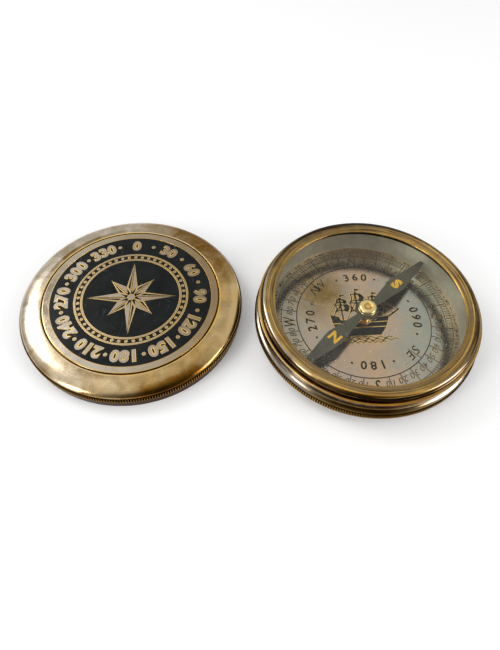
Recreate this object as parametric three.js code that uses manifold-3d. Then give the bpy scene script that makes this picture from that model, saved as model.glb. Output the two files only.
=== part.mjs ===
// A brass pocket compass: a knurled case under glass, a swinging needle, and its screw lid laid beside it.
// Millimetres, +Z up. The origin is the centre of the case's underside and +Y points to the dial's north.
import * as THREE from 'three';
import { mergeVertices } from 'three/addons/utils/BufferGeometryUtils.js';
import Module from 'manifold-3d';

// Knurled rim, the same on the case and on the lid
const KNURL_RADIUS = 37.5; // over the tips of the teeth
const KNURL_DEPTH = 0.3;
const KNURL_TEETH = 288;
const KNURL_BACKING = 1.0; // how far the toothed band reaches into the ring behind it

// Outside of the case, from its underside to its crown
const UNDER_DOME_WIDTH = 7.1;
const UNDER_DOME_HEIGHT = 3.5;
const CASE_KNURL_HEIGHT = 2.3;
const BARREL_HEIGHT = 5.2;
const BARREL_INSET = 0.15; // foot of the barrel, inside the knurl's roots
const FLARE_WIDTH = 1.4; // sweep of the barrel's foot, outwards to the knurl
const FLARE_HEIGHT = 1.4;
const LEDGE_WIDTH = 1.4;
const LEDGE_OVERHANG = 0.9; // how far the ledge stands out over the barrel
const LEDGE_EDGE = 0.25; // height of its edge, above the slope under it
const COLLAR_HEIGHT = 2.4;
const COLLAR_CROWN = 0.5; // rise of the collar's top towards the bezel
const COLLAR_WALL = 1.7;
const FOOT_WIDTH = 2.3;
const FLOOR_THICKNESS = 0.9;

// Thread between the collar and the lid's skirt
const THREAD_DEPTH = 0.4;
const THREAD_PITCH = 0.85;
const THREAD_ROOT_WIDTH = 0.55;
const THREAD_CREST_WIDTH = 0.15;
const THREAD_SINK = 0.2; // how far the ridge is rooted in its wall
const THREAD_MARGIN = 0.45; // from each end of the collar to the middle of the nearest turn
const THREAD_CLEARANCE = 0.15;
const THREAD_RUNOUT = 0.15; // in turns, at each end

// Pieces stacked in the case
const FIT_CLEARANCE = 0.1; // radial, of discs and rings in the bore
const BASE_PLATE_THICKNESS = 0.8;
const BASE_PLATE_GAP = 0.25;
const DIAL_THICKNESS = 0.8;
const SLEEVE_WALL = 0.8;
const GLASS_THICKNESS = 1.5;
const GASKET_THICKNESS = 0.3;
const GASKET_WIDTH = 2.0;
const BEZEL_WIDTH = 2.3;
const BEZEL_DROP = 1.2; // fall of its cone from the collar's crown to the glass
const BEZEL_LIP = 0.25;

// Pivot
const PIN_CLEARANCE = 0.05; // radial, of each shank or pin in its hole
const PIN_RADIUS = 0.45;
const PIN_SOCKET_DEPTH = 1.2;
const PIN_POINT_LENGTH = 1.0;
const PIN_POINT_RADIUS = 0.08;
const PIN_POINT_GAP = 0.12; // between the point and the top of the jewel's cup
const BOSS_SHANK_RADIUS = 1.5;
const BOSS_FLANGE_RADIUS = 2.6;
const BOSS_FLANGE_HEIGHT = 0.5;
const BOSS_NECK_RADIUS = 1.8;
const BOSS_NECK_HEIGHT = 1.0;

// Needle
const NEEDLE_BEARING = -139.75; // degrees from +X to its north end
const NEEDLE_TIP_CLEARANCE = 1.4; // tip to the sleeve
const NEEDLE_HEADROOM = 0.5; // cap to the glass
const NEEDLE_THICKNESS = 0.4;
const NEEDLE_TIP_WIDTH = 1.4;
const NEEDLE_SHOULDER_AT = 16.3; // from the pivot to its widest place
const NEEDLE_SHOULDER_WIDTH = 6.1;
const NEEDLE_WAIST_WIDTH = 2.2;
const NEEDLE_BOSS_RADIUS = 3.9;
const HUB_RADIUS = 3.0;
const HUB_FLANGE_HEIGHT = 0.75;
const HUB_GROOVE_DEPTH = 0.65;
const HUB_GROOVE_HEIGHT = 0.3;
const HUB_BUTTON_HEIGHT = 1.05;
const HUB_DISH_RADIUS = 1.6;
const HUB_DISH_DEPTH = 0.4;
const HUB_DISH_RIM = 0.5; // width of the flat rim round the dish
const HUB_SHANK_WALL = 0.4;
const NEEDLE_COLLAR_RADIUS = 2.8;
const NEEDLE_COLLAR_HEIGHT = 0.8;
const JEWEL_RADIUS = 1.05;
const JEWEL_HEIGHT = 0.7;
const JEWEL_CUP_RADIUS = 0.7;
const JEWEL_CUP_DEPTH = 0.4;
const JEWEL_ROOF = 0.55; // brass left between the jewel and the dish

// Lid
const LID_GAP = 4.57; // between the two knurled rims as they lie
const LID_BEARING = 173.5; // degrees from +X to the lid's centre
const LID_TURN = -1; // degrees the motif is turned from +Y
const SKIRT_HEIGHT = 2.8;
const SKIRT_INSET = 0.15; // inside the knurl's roots
const LID_KNURL_HEIGHT = 1.9;
const LID_DOME_WIDTH = 7.15;
const LID_DOME_HEIGHT = 2.35;
const MEDALLION_DEPTH = 1.05;
const MEDALLION_GAP = 0.3;
const MEDALLION_THICKNESS = 0.7;
const LID_WEB = 0.6;
const BORDER_WIDTH = 2.6;
const RELIEF_HEIGHT = 0.4;
const ENAMEL_THICKNESS = 0.3;
const ENAMEL_GAP = 0.3;
const ROSE_RADIUS = 14.0;
const ROSE_SHORT_RADIUS = 9.5;
const ROSE_WAIST_RADIUS = 4.6;
const ROSE_POINTS = 8;

// Fineness of the round pieces
const RING_SEGMENTS = 48;
const SMALL_SEGMENTS = 24;
const ARC_STEPS = 6;

// Radii, worked inwards from the knurl
const knurlRoot = KNURL_RADIUS - KNURL_DEPTH;
const barrelFoot = knurlRoot - BARREL_INSET;
const barrelRadius = barrelFoot - FLARE_WIDTH;
const ledgeRadius = barrelRadius + LEDGE_OVERHANG;
const collarRadius = ledgeRadius - LEDGE_WIDTH;
const boreRadius = collarRadius - COLLAR_WALL;
const insertRadius = boreRadius - FIT_CLEARANCE;
const sleeveInside = insertRadius - SLEEVE_WALL;
const windowRadius = insertRadius - BEZEL_WIDTH;
const footRadius = barrelFoot - UNDER_DOME_WIDTH;
const plateSeatRadius = footRadius - FOOT_WIDTH;
const shankHole = BOSS_SHANK_RADIUS + PIN_CLEARANCE;
const hubBore = JEWEL_RADIUS + PIN_CLEARANCE;
const hubShankRadius = hubBore + HUB_SHANK_WALL;

// Heights of the case, upwards from its underside
const floorTop = BASE_PLATE_THICKNESS + FLOOR_THICKNESS;
const dialTop = floorTop + DIAL_THICKNESS;
const caseKnurlTop = UNDER_DOME_HEIGHT + CASE_KNURL_HEIGHT;
const ledgeTop = caseKnurlTop + BARREL_HEIGHT;
const collarTop = ledgeTop + COLLAR_HEIGHT;
const crownTop = collarTop + COLLAR_CROWN;
const threadTurns = (COLLAR_HEIGHT - 2 * THREAD_MARGIN) / THREAD_PITCH;

// Heights of what hangs from the crown, downwards
const windowTop = crownTop - BEZEL_DROP;
const bezelBottom = windowTop - BEZEL_LIP;
const glassTop = bezelBottom - GASKET_THICKNESS;
const glassBottom = glassTop - GLASS_THICKNESS;
const hubTop = glassBottom - NEEDLE_HEADROOM;
const bladeTop = hubTop - HUB_BUTTON_HEIGHT - HUB_GROOVE_HEIGHT - HUB_FLANGE_HEIGHT;
const bladeBottom = bladeTop - NEEDLE_THICKNESS;
const hubShankBottom = bladeBottom - NEEDLE_COLLAR_HEIGHT;
const jewelTop = hubTop - HUB_DISH_DEPTH - JEWEL_ROOF;
const jewelBottom = jewelTop - JEWEL_HEIGHT;
const pinTop = jewelBottom + JEWEL_CUP_DEPTH - PIN_POINT_GAP;
const bossTop = dialTop + BOSS_FLANGE_HEIGHT + BOSS_NECK_HEIGHT;

// Lid sizes that follow from the case
const threadMajor = collarRadius + THREAD_DEPTH + THREAD_CLEARANCE;
const skirtRadius = knurlRoot - SKIRT_INSET;
const lidKnurlTop = SKIRT_HEIGHT + LID_KNURL_HEIGHT;
const lidTop = lidKnurlTop + LID_DOME_HEIGHT;
const medallionSeat = lidTop - MEDALLION_DEPTH;
const lidCeiling = medallionSeat - LID_WEB;
const medallionSeatRadius = skirtRadius - LID_DOME_WIDTH;
const medallionRadius = medallionSeatRadius - MEDALLION_GAP;
const medallionTop = medallionSeat + MEDALLION_THICKNESS;
const borderInside = medallionRadius - BORDER_WIDTH;

const wasm = await Module();
wasm.setup();

// Solids: closed three.js geometry with shared vertices, and boolean joins between them

function closed(geometry) {
  geometry.deleteAttribute('normal');
  geometry.deleteAttribute('uv');
  const merged = mergeVertices(geometry);
  const index = merged.index.array;
  const kept = [];
  for (let i = 0; i < index.length; i += 3) {
    const [a, b, c] = [index[i], index[i + 1], index[i + 2]];
    if (a !== b && b !== c && c !== a) kept.push(a, b, c);
  }
  merged.setIndex(kept);
  return merged;
}

function solid(geometry) {
  const mesh = closed(geometry);
  const vertProperties = new Float32Array(mesh.attributes.position.array);
  const triVerts = new Uint32Array(mesh.index.array);
  return new wasm.Manifold(new wasm.Mesh({ numProp: 3, vertProperties, triVerts }));
}

function joined(first, ...others) {
  let sum = solid(first);
  for (const other of others) sum = sum.add(solid(other));
  const { vertProperties, triVerts } = sum.getMesh();
  const geometry = new THREE.BufferGeometry();
  geometry.setAttribute('position', new THREE.BufferAttribute(vertProperties, 3));
  geometry.setIndex(new THREE.BufferAttribute(triVerts, 1));
  return geometry;
}

// A turned piece: its profile is [radius, height] pairs, anticlockwise, and closes on itself or on the axis
function turned(profile, segments = RING_SEGMENTS) {
  const points = profile.map(([r, z]) => new THREE.Vector2(r, z));
  const onAxis = profile[0][0] === 0 && profile.at(-1)[0] === 0;
  if (!onAxis) points.push(points[0].clone());
  return closed(new THREE.LatheGeometry(points, segments).rotateX(Math.PI / 2));
}

function ring(inside, outside, bottom, top, segments = RING_SEGMENTS) {
  return turned([[inside, bottom], [outside, bottom], [outside, top], [inside, top]], segments);
}

function disc(radius, bottom, top, segments = RING_SEGMENTS) {
  return turned([[0, bottom], [radius, bottom], [radius, top], [0, top]], segments);
}

// Points of a quarter ellipse; at(angle) gives [radius, height] for angles from 0 to a right angle
function quarter(at) {
  return Array.from({ length: ARC_STEPS + 1 }, (_, i) => at((i / ARC_STEPS) * (Math.PI / 2)));
}

function circle(radius, segments) {
  return Array.from({ length: segments }, (_, i) => {
    const angle = (i / segments) * 2 * Math.PI;
    return new THREE.Vector2(radius * Math.cos(angle), radius * Math.sin(angle));
  });
}

function extruded(shape, bottom, height) {
  const options = { depth: height, bevelEnabled: false, curveSegments: SMALL_SEGMENTS };
  return new THREE.ExtrudeGeometry(shape, options).translate(0, 0, bottom);
}

// The toothed band: tips and roots alternate round the rim
function knurl(bottom, height) {
  const outline = circle(1, 2 * KNURL_TEETH).map((p, i) => {
    return p.multiplyScalar(i % 2 === 0 ? KNURL_RADIUS : knurlRoot);
  });
  const band = new THREE.Shape(outline);
  band.holes.push(new THREE.Path(circle(knurlRoot - KNURL_BACKING, RING_SEGMENTS).reverse()));
  return extruded(band, bottom, height);
}

// One helical ridge that stands out of its wall by depth, inwards where depth is negative
function threadRidge(wallRadius, depth, startHeight) {
  const steps = Math.round(threadTurns * RING_SEGMENTS);
  const sunk = wallRadius - Math.sign(depth) * THREAD_SINK;
  const root = THREAD_ROOT_WIDTH / 2;
  const tip = THREAD_CREST_WIDTH / 2;
  const section = (crest) => [[sunk, -root], [crest, -tip], [crest, tip], [sunk, root]];
  const first = section(wallRadius).map((_, k) => k);
  const corners = first.length;
  const positions = [];
  const index = [];
  for (let i = 0; i <= steps; i += 1) {
    const turn = (i / steps) * threadTurns;
    const ease = Math.min(1, turn / THREAD_RUNOUT, (threadTurns - turn) / THREAD_RUNOUT);
    const z = startHeight + turn * THREAD_PITCH;
    const angle = turn * 2 * Math.PI;
    for (const [r, rise] of section(wallRadius + depth * ease)) {
      positions.push(r * Math.cos(angle), r * Math.sin(angle), z + rise);
    }
  }
  const quad = (a, b, c, d) => index.push(a, b, c, a, c, d);
  for (let i = 0; i < steps; i += 1) {
    for (const k of first) {
      const here = i * corners + k;
      const beside = i * corners + ((k + 1) % corners);
      quad(here, here + corners, beside + corners, beside);
    }
  }
  const last = first.map((k) => steps * corners + k);
  quad(...first);
  quad(...last.reverse());
  if (depth < 0) index.reverse();
  const geometry = new THREE.BufferGeometry();
  geometry.setAttribute('position', new THREE.Float32BufferAttribute(positions, 3));
  geometry.setIndex(index);
  return geometry;
}

// Case

function caseRing() {
  const edgeBottom = ledgeTop - LEDGE_EDGE;
  const body = turned([
    [shankHole, BASE_PLATE_THICKNESS],
    [plateSeatRadius, BASE_PLATE_THICKNESS],
    [plateSeatRadius, 0],
    ...quarter((t) => [
      footRadius + UNDER_DOME_WIDTH * Math.sin(t), UNDER_DOME_HEIGHT * (1 - Math.cos(t)),
    ]),
    ...quarter((t) => [
      barrelFoot - FLARE_WIDTH * Math.sin(t), caseKnurlTop + FLARE_HEIGHT * (1 - Math.cos(t)),
    ]),
    [barrelRadius, edgeBottom - LEDGE_OVERHANG],
    [ledgeRadius, edgeBottom],
    [ledgeRadius, ledgeTop],
    [collarRadius, ledgeTop],
    [collarRadius, collarTop],
    [boreRadius, crownTop],
    [boreRadius, floorTop],
    [shankHole, floorTop],
  ]);
  const thread = threadRidge(collarRadius, THREAD_DEPTH, ledgeTop + THREAD_MARGIN);
  return joined(body, knurl(UNDER_DOME_HEIGHT, CASE_KNURL_HEIGHT), thread);
}

function basePlate() {
  return disc(plateSeatRadius - BASE_PLATE_GAP, 0, BASE_PLATE_THICKNESS);
}

function dialPlate() {
  return ring(shankHole, insertRadius, floorTop, dialTop);
}

function pivotBoss() {
  const socket = PIN_RADIUS + PIN_CLEARANCE;
  return turned([
    [0, BASE_PLATE_THICKNESS],
    [BOSS_SHANK_RADIUS, BASE_PLATE_THICKNESS],
    [BOSS_SHANK_RADIUS, dialTop],
    [BOSS_FLANGE_RADIUS, dialTop],
    [BOSS_FLANGE_RADIUS, dialTop + BOSS_FLANGE_HEIGHT],
    [BOSS_NECK_RADIUS, dialTop + BOSS_FLANGE_HEIGHT],
    [BOSS_NECK_RADIUS, bossTop],
    [socket, bossTop],
    [socket, bossTop - PIN_SOCKET_DEPTH],
    [0, bossTop - PIN_SOCKET_DEPTH],
  ], SMALL_SEGMENTS);
}

function pivotPin() {
  return turned([
    [0, bossTop - PIN_SOCKET_DEPTH],
    [PIN_RADIUS, bossTop - PIN_SOCKET_DEPTH],
    [PIN_RADIUS, pinTop - PIN_POINT_LENGTH],
    [PIN_POINT_RADIUS, pinTop],
    [0, pinTop],
  ], SMALL_SEGMENTS);
}

function spacerSleeve() {
  return ring(sleeveInside, insertRadius, dialTop, glassBottom);
}

function glass() {
  return disc(insertRadius, glassBottom, glassTop);
}

function glassGasket() {
  return ring(insertRadius - GASKET_WIDTH, insertRadius, glassTop, bezelBottom);
}

function bezelRing() {
  return turned([
    [windowRadius, bezelBottom],
    [insertRadius, bezelBottom],
    [insertRadius, crownTop],
    [windowRadius, windowTop],
  ]);
}

// Needle, along X with its north end at +X

function needleBlade() {
  const reach = sleeveInside - NEEDLE_TIP_CLEARANCE;
  const waist = Math.asin(NEEDLE_WAIST_WIDTH / 2 / NEEDLE_BOSS_RADIUS);
  const outline = new THREE.Shape();
  outline.moveTo(reach, -NEEDLE_TIP_WIDTH / 2);
  outline.lineTo(reach, NEEDLE_TIP_WIDTH / 2);
  outline.lineTo(NEEDLE_SHOULDER_AT, NEEDLE_SHOULDER_WIDTH / 2);
  outline.absarc(0, 0, NEEDLE_BOSS_RADIUS, waist, Math.PI - waist);
  outline.lineTo(-NEEDLE_SHOULDER_AT, NEEDLE_SHOULDER_WIDTH / 2);
  outline.lineTo(-reach, NEEDLE_TIP_WIDTH / 2);
  outline.lineTo(-reach, -NEEDLE_TIP_WIDTH / 2);
  outline.lineTo(-NEEDLE_SHOULDER_AT, -NEEDLE_SHOULDER_WIDTH / 2);
  outline.absarc(0, 0, NEEDLE_BOSS_RADIUS, Math.PI + waist, 2 * Math.PI - waist);
  outline.lineTo(NEEDLE_SHOULDER_AT, -NEEDLE_SHOULDER_WIDTH / 2);
  const hole = circle(hubShankRadius + PIN_CLEARANCE, SMALL_SEGMENTS);
  outline.holes.push(new THREE.Path(hole.reverse()));
  return closed(extruded(outline, bladeBottom, NEEDLE_THICKNESS));
}

function needleHub() {
  const flangeTop = bladeTop + HUB_FLANGE_HEIGHT;
  const buttonBottom = flangeTop + HUB_GROOVE_HEIGHT;
  const grooveRadius = HUB_RADIUS - HUB_GROOVE_DEPTH;
  const rimRadius = HUB_DISH_RADIUS + HUB_DISH_RIM;
  return turned([
    [0, jewelTop],
    [hubBore, jewelTop],
    [hubBore, hubShankBottom],
    [hubShankRadius, hubShankBottom],
    [hubShankRadius, bladeTop],
    [HUB_RADIUS, bladeTop],
    [HUB_RADIUS, flangeTop],
    [grooveRadius, flangeTop],
    [grooveRadius, buttonBottom],
    ...quarter((t) => [
      rimRadius + (HUB_RADIUS - rimRadius) * Math.cos(t), buttonBottom + HUB_BUTTON_HEIGHT * Math.sin(t),
    ]),
    [HUB_DISH_RADIUS, hubTop],
    [HUB_DISH_RADIUS / 2, hubTop - HUB_DISH_DEPTH],
    [0, hubTop - HUB_DISH_DEPTH],
  ], SMALL_SEGMENTS);
}

function needleCollar() {
  const hole = hubShankRadius + PIN_CLEARANCE;
  return ring(hole, NEEDLE_COLLAR_RADIUS, hubShankBottom, bladeBottom, SMALL_SEGMENTS);
}

function needleJewel() {
  return turned([
    [0, jewelBottom + JEWEL_CUP_DEPTH],
    [JEWEL_CUP_RADIUS, jewelBottom],
    [JEWEL_RADIUS, jewelBottom],
    [JEWEL_RADIUS, jewelTop],
    [0, jewelTop],
  ], SMALL_SEGMENTS);
}

// Lid, about its own axis, standing on its skirt

function lidRing() {
  const body = turned([
    [0, lidCeiling],
    [threadMajor, lidCeiling],
    [threadMajor, 0],
    [skirtRadius, 0],
    ...quarter((t) => [
      medallionSeatRadius + LID_DOME_WIDTH * Math.cos(t), lidKnurlTop + LID_DOME_HEIGHT * Math.sin(t),
    ]),
    [medallionSeatRadius, medallionSeat],
    [0, medallionSeat],
  ]);
  const thread = threadRidge(threadMajor, -THREAD_DEPTH, THREAD_MARGIN);
  return joined(body, knurl(SKIRT_HEIGHT, LID_KNURL_HEIGHT), thread);
}

// The compass rose: long points on the main winds, short points between, waists in each valley
function roseOutline() {
  const points = circle(1, 2 * ROSE_POINTS);
  return points.map((p, i) => {
    const isWaist = i % 2 === 1;
    const isLong = i % 4 === 0;
    const pointRadius = isLong ? ROSE_RADIUS : ROSE_SHORT_RADIUS;
    return p.multiplyScalar(isWaist ? ROSE_WAIST_RADIUS : pointRadius);
  });
}

// An outline moved outwards by a distance, each corner where its two moved sides meet
function offset(outline, distance) {
  const count = outline.length;
  const side = (i) => {
    const from = outline[i % count];
    const along = outline[(i + 1) % count].clone().sub(from).normalize();
    const out = new THREE.Vector2(along.y, -along.x);
    return { from: from.clone().addScaledVector(out, distance), along };
  };
  return outline.map((_, i) => {
    const before = side(i + count - 1);
    const after = side(i);
    const between = after.from.clone().sub(before.from);
    const reach = between.cross(after.along) / before.along.cross(after.along);
    return before.from.clone().addScaledVector(before.along, reach);
  });
}

function medallionPlate() {
  const plate = disc(medallionRadius, medallionSeat, medallionTop);
  const border = ring(borderInside, medallionRadius, medallionTop, medallionTop + RELIEF_HEIGHT);
  const rose = extruded(new THREE.Shape(roseOutline()), medallionTop, RELIEF_HEIGHT);
  return joined(plate, border, rose);
}

function medallionEnamel() {
  const field = new THREE.Shape(circle(borderInside - ENAMEL_GAP, RING_SEGMENTS));
  field.holes.push(new THREE.Path(offset(roseOutline(), ENAMEL_GAP).reverse()));
  return closed(extruded(field, medallionTop, ENAMEL_THICKNESS));
}

// Finishes

const FINISHES = {
  brass: { color: 0xa8885a, roughness: 0.32, metalness: 1 },
  polished: { color: 0xd9a63c, roughness: 0.16, metalness: 1 },
  plated: { color: 0xb0a08a, roughness: 0.3, metalness: 1 },
  silvered: { color: 0x9c9484, roughness: 0.35, metalness: 0.8 },
  enamel: { color: 0x24282a, roughness: 0.3, metalness: 0 },
  blued: { color: 0x46463c, roughness: 0.5, metalness: 0.3 },
  steel: { color: 0x9a9a98, roughness: 0.25, metalness: 1 },
  jewel: { color: 0xd8d2c4, roughness: 0.1, metalness: 0 },
  rubber: { color: 0x161616, roughness: 0.8, metalness: 0 },
  glass: { color: 0xdfe6df, roughness: 0.05, metalness: 0, transparent: true, opacity: 0.2 },
};

function piece(name, geometry, finish) {
  geometry.computeVertexNormals();
  const mesh = new THREE.Mesh(geometry, new THREE.MeshStandardMaterial(FINISHES[finish]));
  mesh.name = name;
  return mesh;
}

// The compass

const casing = new THREE.Group();
casing.add(
  piece('case_ring', caseRing(), 'brass'),
  piece('base_plate', basePlate(), 'brass'),
  piece('dial_plate', dialPlate(), 'silvered'),
  piece('pivot_boss', pivotBoss(), 'polished'),
  piece('pivot_pin', pivotPin(), 'steel'),
  piece('spacer_sleeve', spacerSleeve(), 'plated'),
  piece('glass', glass(), 'glass'),
  piece('glass_gasket', glassGasket(), 'rubber'),
  piece('bezel_ring', bezelRing(), 'brass'),
);

const needle = new THREE.Group();
needle.rotation.z = THREE.MathUtils.degToRad(NEEDLE_BEARING);
needle.add(
  piece('needle_blade', needleBlade(), 'blued'),
  piece('needle_hub', needleHub(), 'polished'),
  piece('needle_collar', needleCollar(), 'polished'),
  piece('needle_jewel', needleJewel(), 'jewel'),
);

const lidBearing = THREE.MathUtils.degToRad(LID_BEARING);
const lidDistance = 2 * KNURL_RADIUS + LID_GAP;
const lid = new THREE.Group();
lid.position.set(lidDistance * Math.cos(lidBearing), lidDistance * Math.sin(lidBearing), 0);
lid.rotation.z = THREE.MathUtils.degToRad(LID_TURN);
lid.add(
  piece('lid_ring', lidRing(), 'brass'),
  piece('medallion_plate', medallionPlate(), 'plated'),
  piece('medallion_enamel', medallionEnamel(), 'enamel'),
);

const compass = new THREE.Group();
compass.add(casing, needle, lid);

export default compass;
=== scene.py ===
from functools import lru_cache
from math import asin, atan2, cos, degrees, hypot, pi, radians, sin

import bmesh
import bpy
from mathutils import Matrix, Vector


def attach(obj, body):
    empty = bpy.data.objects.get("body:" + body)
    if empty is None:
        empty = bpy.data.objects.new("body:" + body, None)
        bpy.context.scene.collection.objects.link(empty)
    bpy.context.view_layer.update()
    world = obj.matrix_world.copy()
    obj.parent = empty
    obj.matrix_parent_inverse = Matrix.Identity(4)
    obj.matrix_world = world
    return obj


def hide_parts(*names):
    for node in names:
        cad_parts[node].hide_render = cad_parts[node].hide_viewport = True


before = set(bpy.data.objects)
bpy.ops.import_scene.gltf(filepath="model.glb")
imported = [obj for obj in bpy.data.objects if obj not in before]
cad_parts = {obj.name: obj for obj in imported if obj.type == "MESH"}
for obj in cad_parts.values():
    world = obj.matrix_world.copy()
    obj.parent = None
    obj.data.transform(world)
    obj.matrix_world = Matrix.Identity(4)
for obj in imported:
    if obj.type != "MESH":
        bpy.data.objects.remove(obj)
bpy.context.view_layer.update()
scene = bpy.context.scene

# Sizes in millimetres, the same as the solids
MM = 0.001
KNURL_TIP = 37.5
KNURL_ROOT = 37.2
KNURL_TEETH = 288
KNURL_SEAT = 36.6
KNURL_CHAMFER = 0.16
KNURL_PLAY = 0.02
KNURL_RIB = (0.0, 0.0, 0.0, 1.0, 1.0, 0.0)

FOOT_R = 29.95
FOOT_BREAK = 0.12
PLATE_SEAT_R = 27.65
PLATE_R = 27.4
PLATE_TOP = 0.8
UNDER_WIDTH = 7.1
UNDER_TOP = 3.5
CASE_KNURL_TOP = 5.8
BODY_R = 37.05
BARREL_R = 35.65
FLARE_HEIGHT = 1.4
FLARE_FROM = 20
FLARE_STEPS = 12
COVE_TOP = CASE_KNURL_TOP + FLARE_HEIGHT
COVE_FOOT = CASE_KNURL_TOP + 0.35
BAND_HEIGHT = 1.3
LEDGE_Z = 11.0
LEDGE_R = 36.55
LEDGE_EDGE = LEDGE_Z - 0.3
LEDGE_BOTTOM = LEDGE_Z - 1.15
COLLAR_R = 35.15
COLLAR_TOP = 13.4
CROWN_Z = 13.9
CROWN_EDGE_R = 34.5
BORE_R = 33.45
FLOOR_TOP = 1.7
SHANK_HOLE = 1.55

THREAD_DEPTH = 0.4
THREAD_PITCH = 0.85
THREAD_ROOT = 0.55
THREAD_CREST = 0.15
THREAD_MARGIN = 0.45
THREAD_TURNS = 1.765
THREAD_RUNOUT = 0.15
THREAD_STEP = 0.07
THREAD_TOP = COLLAR_TOP - 0.35

INSERT_R = 33.35
DIAL_TOP = 2.5
SLEEVE_R = 32.55
WALL_MIDDLE = 6.5
GLASS_BOTTOM = 10.65
WALL_DARK = GLASS_BOTTOM - 0.45
GLASS_TOP = 12.15
GASKET_R = 31.35
BEZEL_BOTTOM = 12.45
BEZEL_EDGE_R = 32.9
WINDOW_R = 31.05
WINDOW_TOP = 12.7
BOSS_SHANK_R = 1.5
BOSS_FOOT_R = 2.6
BOSS_FOOT_TOP = 3.0
BOSS_R = 1.8
BOSS_TOP = 4.0
PIN_R = 0.5
PIN_BOTTOM = 2.8

INK_TOP = DIAL_TOP + 0.03
EDGE_TOP = DIAL_TOP + 0.018
CROSS_LINE_R = 17.6
NUMBER_RING_R = 18.4
RING_HEIGHT = 3.2
PAIR_R = 19.9
PAIR_HEIGHT = 3.1
CIRCLE_R = 23.0
CIRCLE_HALF = 0.17
FIGURE_R = 25.4
FIGURE_HEIGHT = 2.1
RIM_FIGURE_HEIGHT = 1.25
QUARTER_R = 25.6
QUARTER_HEIGHT = 3.9
LINE_END_R = 28.3
LINE_END_HALF = 0.1
LADDER_R = 30.4
LADDER_HALF = 0.09
DOT_RING_R = 31.45
SLANT = 0.25
SPOKE_WIDTH = 0.26
TICK_WIDTH = 0.2
TENTH_WIDTH = 0.34
CROSS_WIDTH = 0.22
DOT_R = 0.3

NEEDLE_BEARING = -139.75
BLADE_BOTTOM = 7.65
BLADE_TOP = 8.05
BLADE_BEVEL = 0.14
NEEDLE_REACH = 31.15
NEEDLE_TIP = 1.4
SHOULDER_AT = 16.3
SHOULDER_WIDTH = 6.1
WAIST_WIDTH = 2.2
BLADE_BOSS_R = 3.9
BLADE_HOLE_R = 1.55
LETTER_AT = 16.2
LETTER_HEIGHT = 3.8
HUB_R = 3.0
HUB_TOP = 10.15
HUB_SHANK_R = 1.5
GROOVE_R = 2.35
GROOVE_BOTTOM = 8.8
GROOVE_TOP = 9.1
CUP_R = 1.1
CUP_TOP = 9.2
CLAMP_R = 2.8
CLAMP_BOTTOM = 6.85

LID_CENTRE = (-79.058, 9.008)
LID_TURN = -1.0
SKIRT_TOP = 2.8
LID_KNURL_TOP = 4.7
LID_TOP = 7.05
LID_DOME_WIDTH = 7.15
LID_SEAT_R = BODY_R - LID_DOME_WIDTH
LID_INSIDE_R = 35.7
LID_CEILING = 5.4
MEDALLION_SEAT = 6.0
MEDALLION_R = 29.4
MEDALLION_TOP = 6.7
BORDER_R = 27.0
ENAMEL_R = BORDER_R - 0.03
ENAMEL_TOP = 7.0
RELIEF_TOP = 7.1
RELIEF_BOTTOM = ENAMEL_TOP - 0.01
GOLD_TOP = RELIEF_TOP - 0.05
NUMBER_R = 23.3
NUMBER_HEIGHT = 4.7
NUMBER_PITCH = 7.4
ROSE_LONG = 14.0
ROSE_SHORT = 9.5
ROSE_WAIST = 4.6
ROSE_HEART = 2.1
ROSE_GAP = 0.2
ROSE_LINE = 0.32
ROSE_DISC_R = 1.15
ROSE_RINGS = ((16.4, 16.85), (18.7, 19.1))
BEAD_RING_R = 17.78
BEAD_R = 0.42
BEADS = 48

ROUND = 256
PLAIN_ROUND = 192
SMALL_ROUND = 96

# Spots round an axis where the tone is painted lighter or darker: change of tone, middle and half width, in
# degrees from +X
# Knurl ribs: painted shade at the case's front, right and left, a painted highlight on the lid's ribs at the
# front right
CASE_KNURL_SHINE = 2.6
CASE_KNURL_PAINTED_LIGHT = ((-0.5, -85, 45), (-1.2, -20, 60), (-1.4, 180, 45))
LID_KNURL_SHINE = 2.1
LID_KNURL_PAINTED_LIGHT = ((0.4, -42, 35),)
# Thread, shelf, ledge, barrel, cove and crown: painted highlights where lamps and bright floor shine in the
# metal, painted shade where dark surroundings and shadowed floor show in it
CREST_SHINE = 1.1
CREST_PAINTED_SHADE = ((-0.5, -100, 50),)
THREAD_PAINTED_SHADE = ((-0.6, 178, 75),)
SHELF_PAINTED_LIGHT = ((1.25, -100, 70),)
LEDGE_PAINTED_SHADE = ((-0.55, -88, 50), (-0.7, -15, 55))
BARREL_PAINTED_LIGHT = ((0.4, -158, 42), (0.9, -60, 28), (-0.5, -30, 22))
BARREL_BACK_PAINTED_SHADE = ((-0.7, 178, 50),)
BAND_PAINTED_LIGHT = ((0.6, -90, 45),)
OVER_BAND_PAINTED_LIGHT = ((0.85, -98, 48),)
COVE_PAINTED_SHADE = ((-0.12, -108, 35),)
CROWN_PAINTED_LIGHT = ((0.33, -92, 50), (-1.2, 95, 85), (-0.5, -10, 50))
CROWN_EDGE_PAINTED_SHADE = ((-0.35, -50, 35), (-0.5, -121, 40), (-0.6, -30, 24))
# Wall: a painted highlight high at the far right, painted shade beside it
WALL_PAINTED_LIGHT = ((0.4, 47, 20), (-0.15, 105, 40))
# Bezel: painted highlight on its face at the front and on its far lip, painted shade on its outer edge at
# front and back
BEZEL_PAINTED_LIGHT = ((0.25, -95, 50),)
BEZEL_EDGE_PAINTED_SHADE = ((-0.95, -95, 45), (-1.0, 95, 70))
BEZEL_LIP_PAINTED_LIGHT = ((0.5, 75, 85),)
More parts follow.
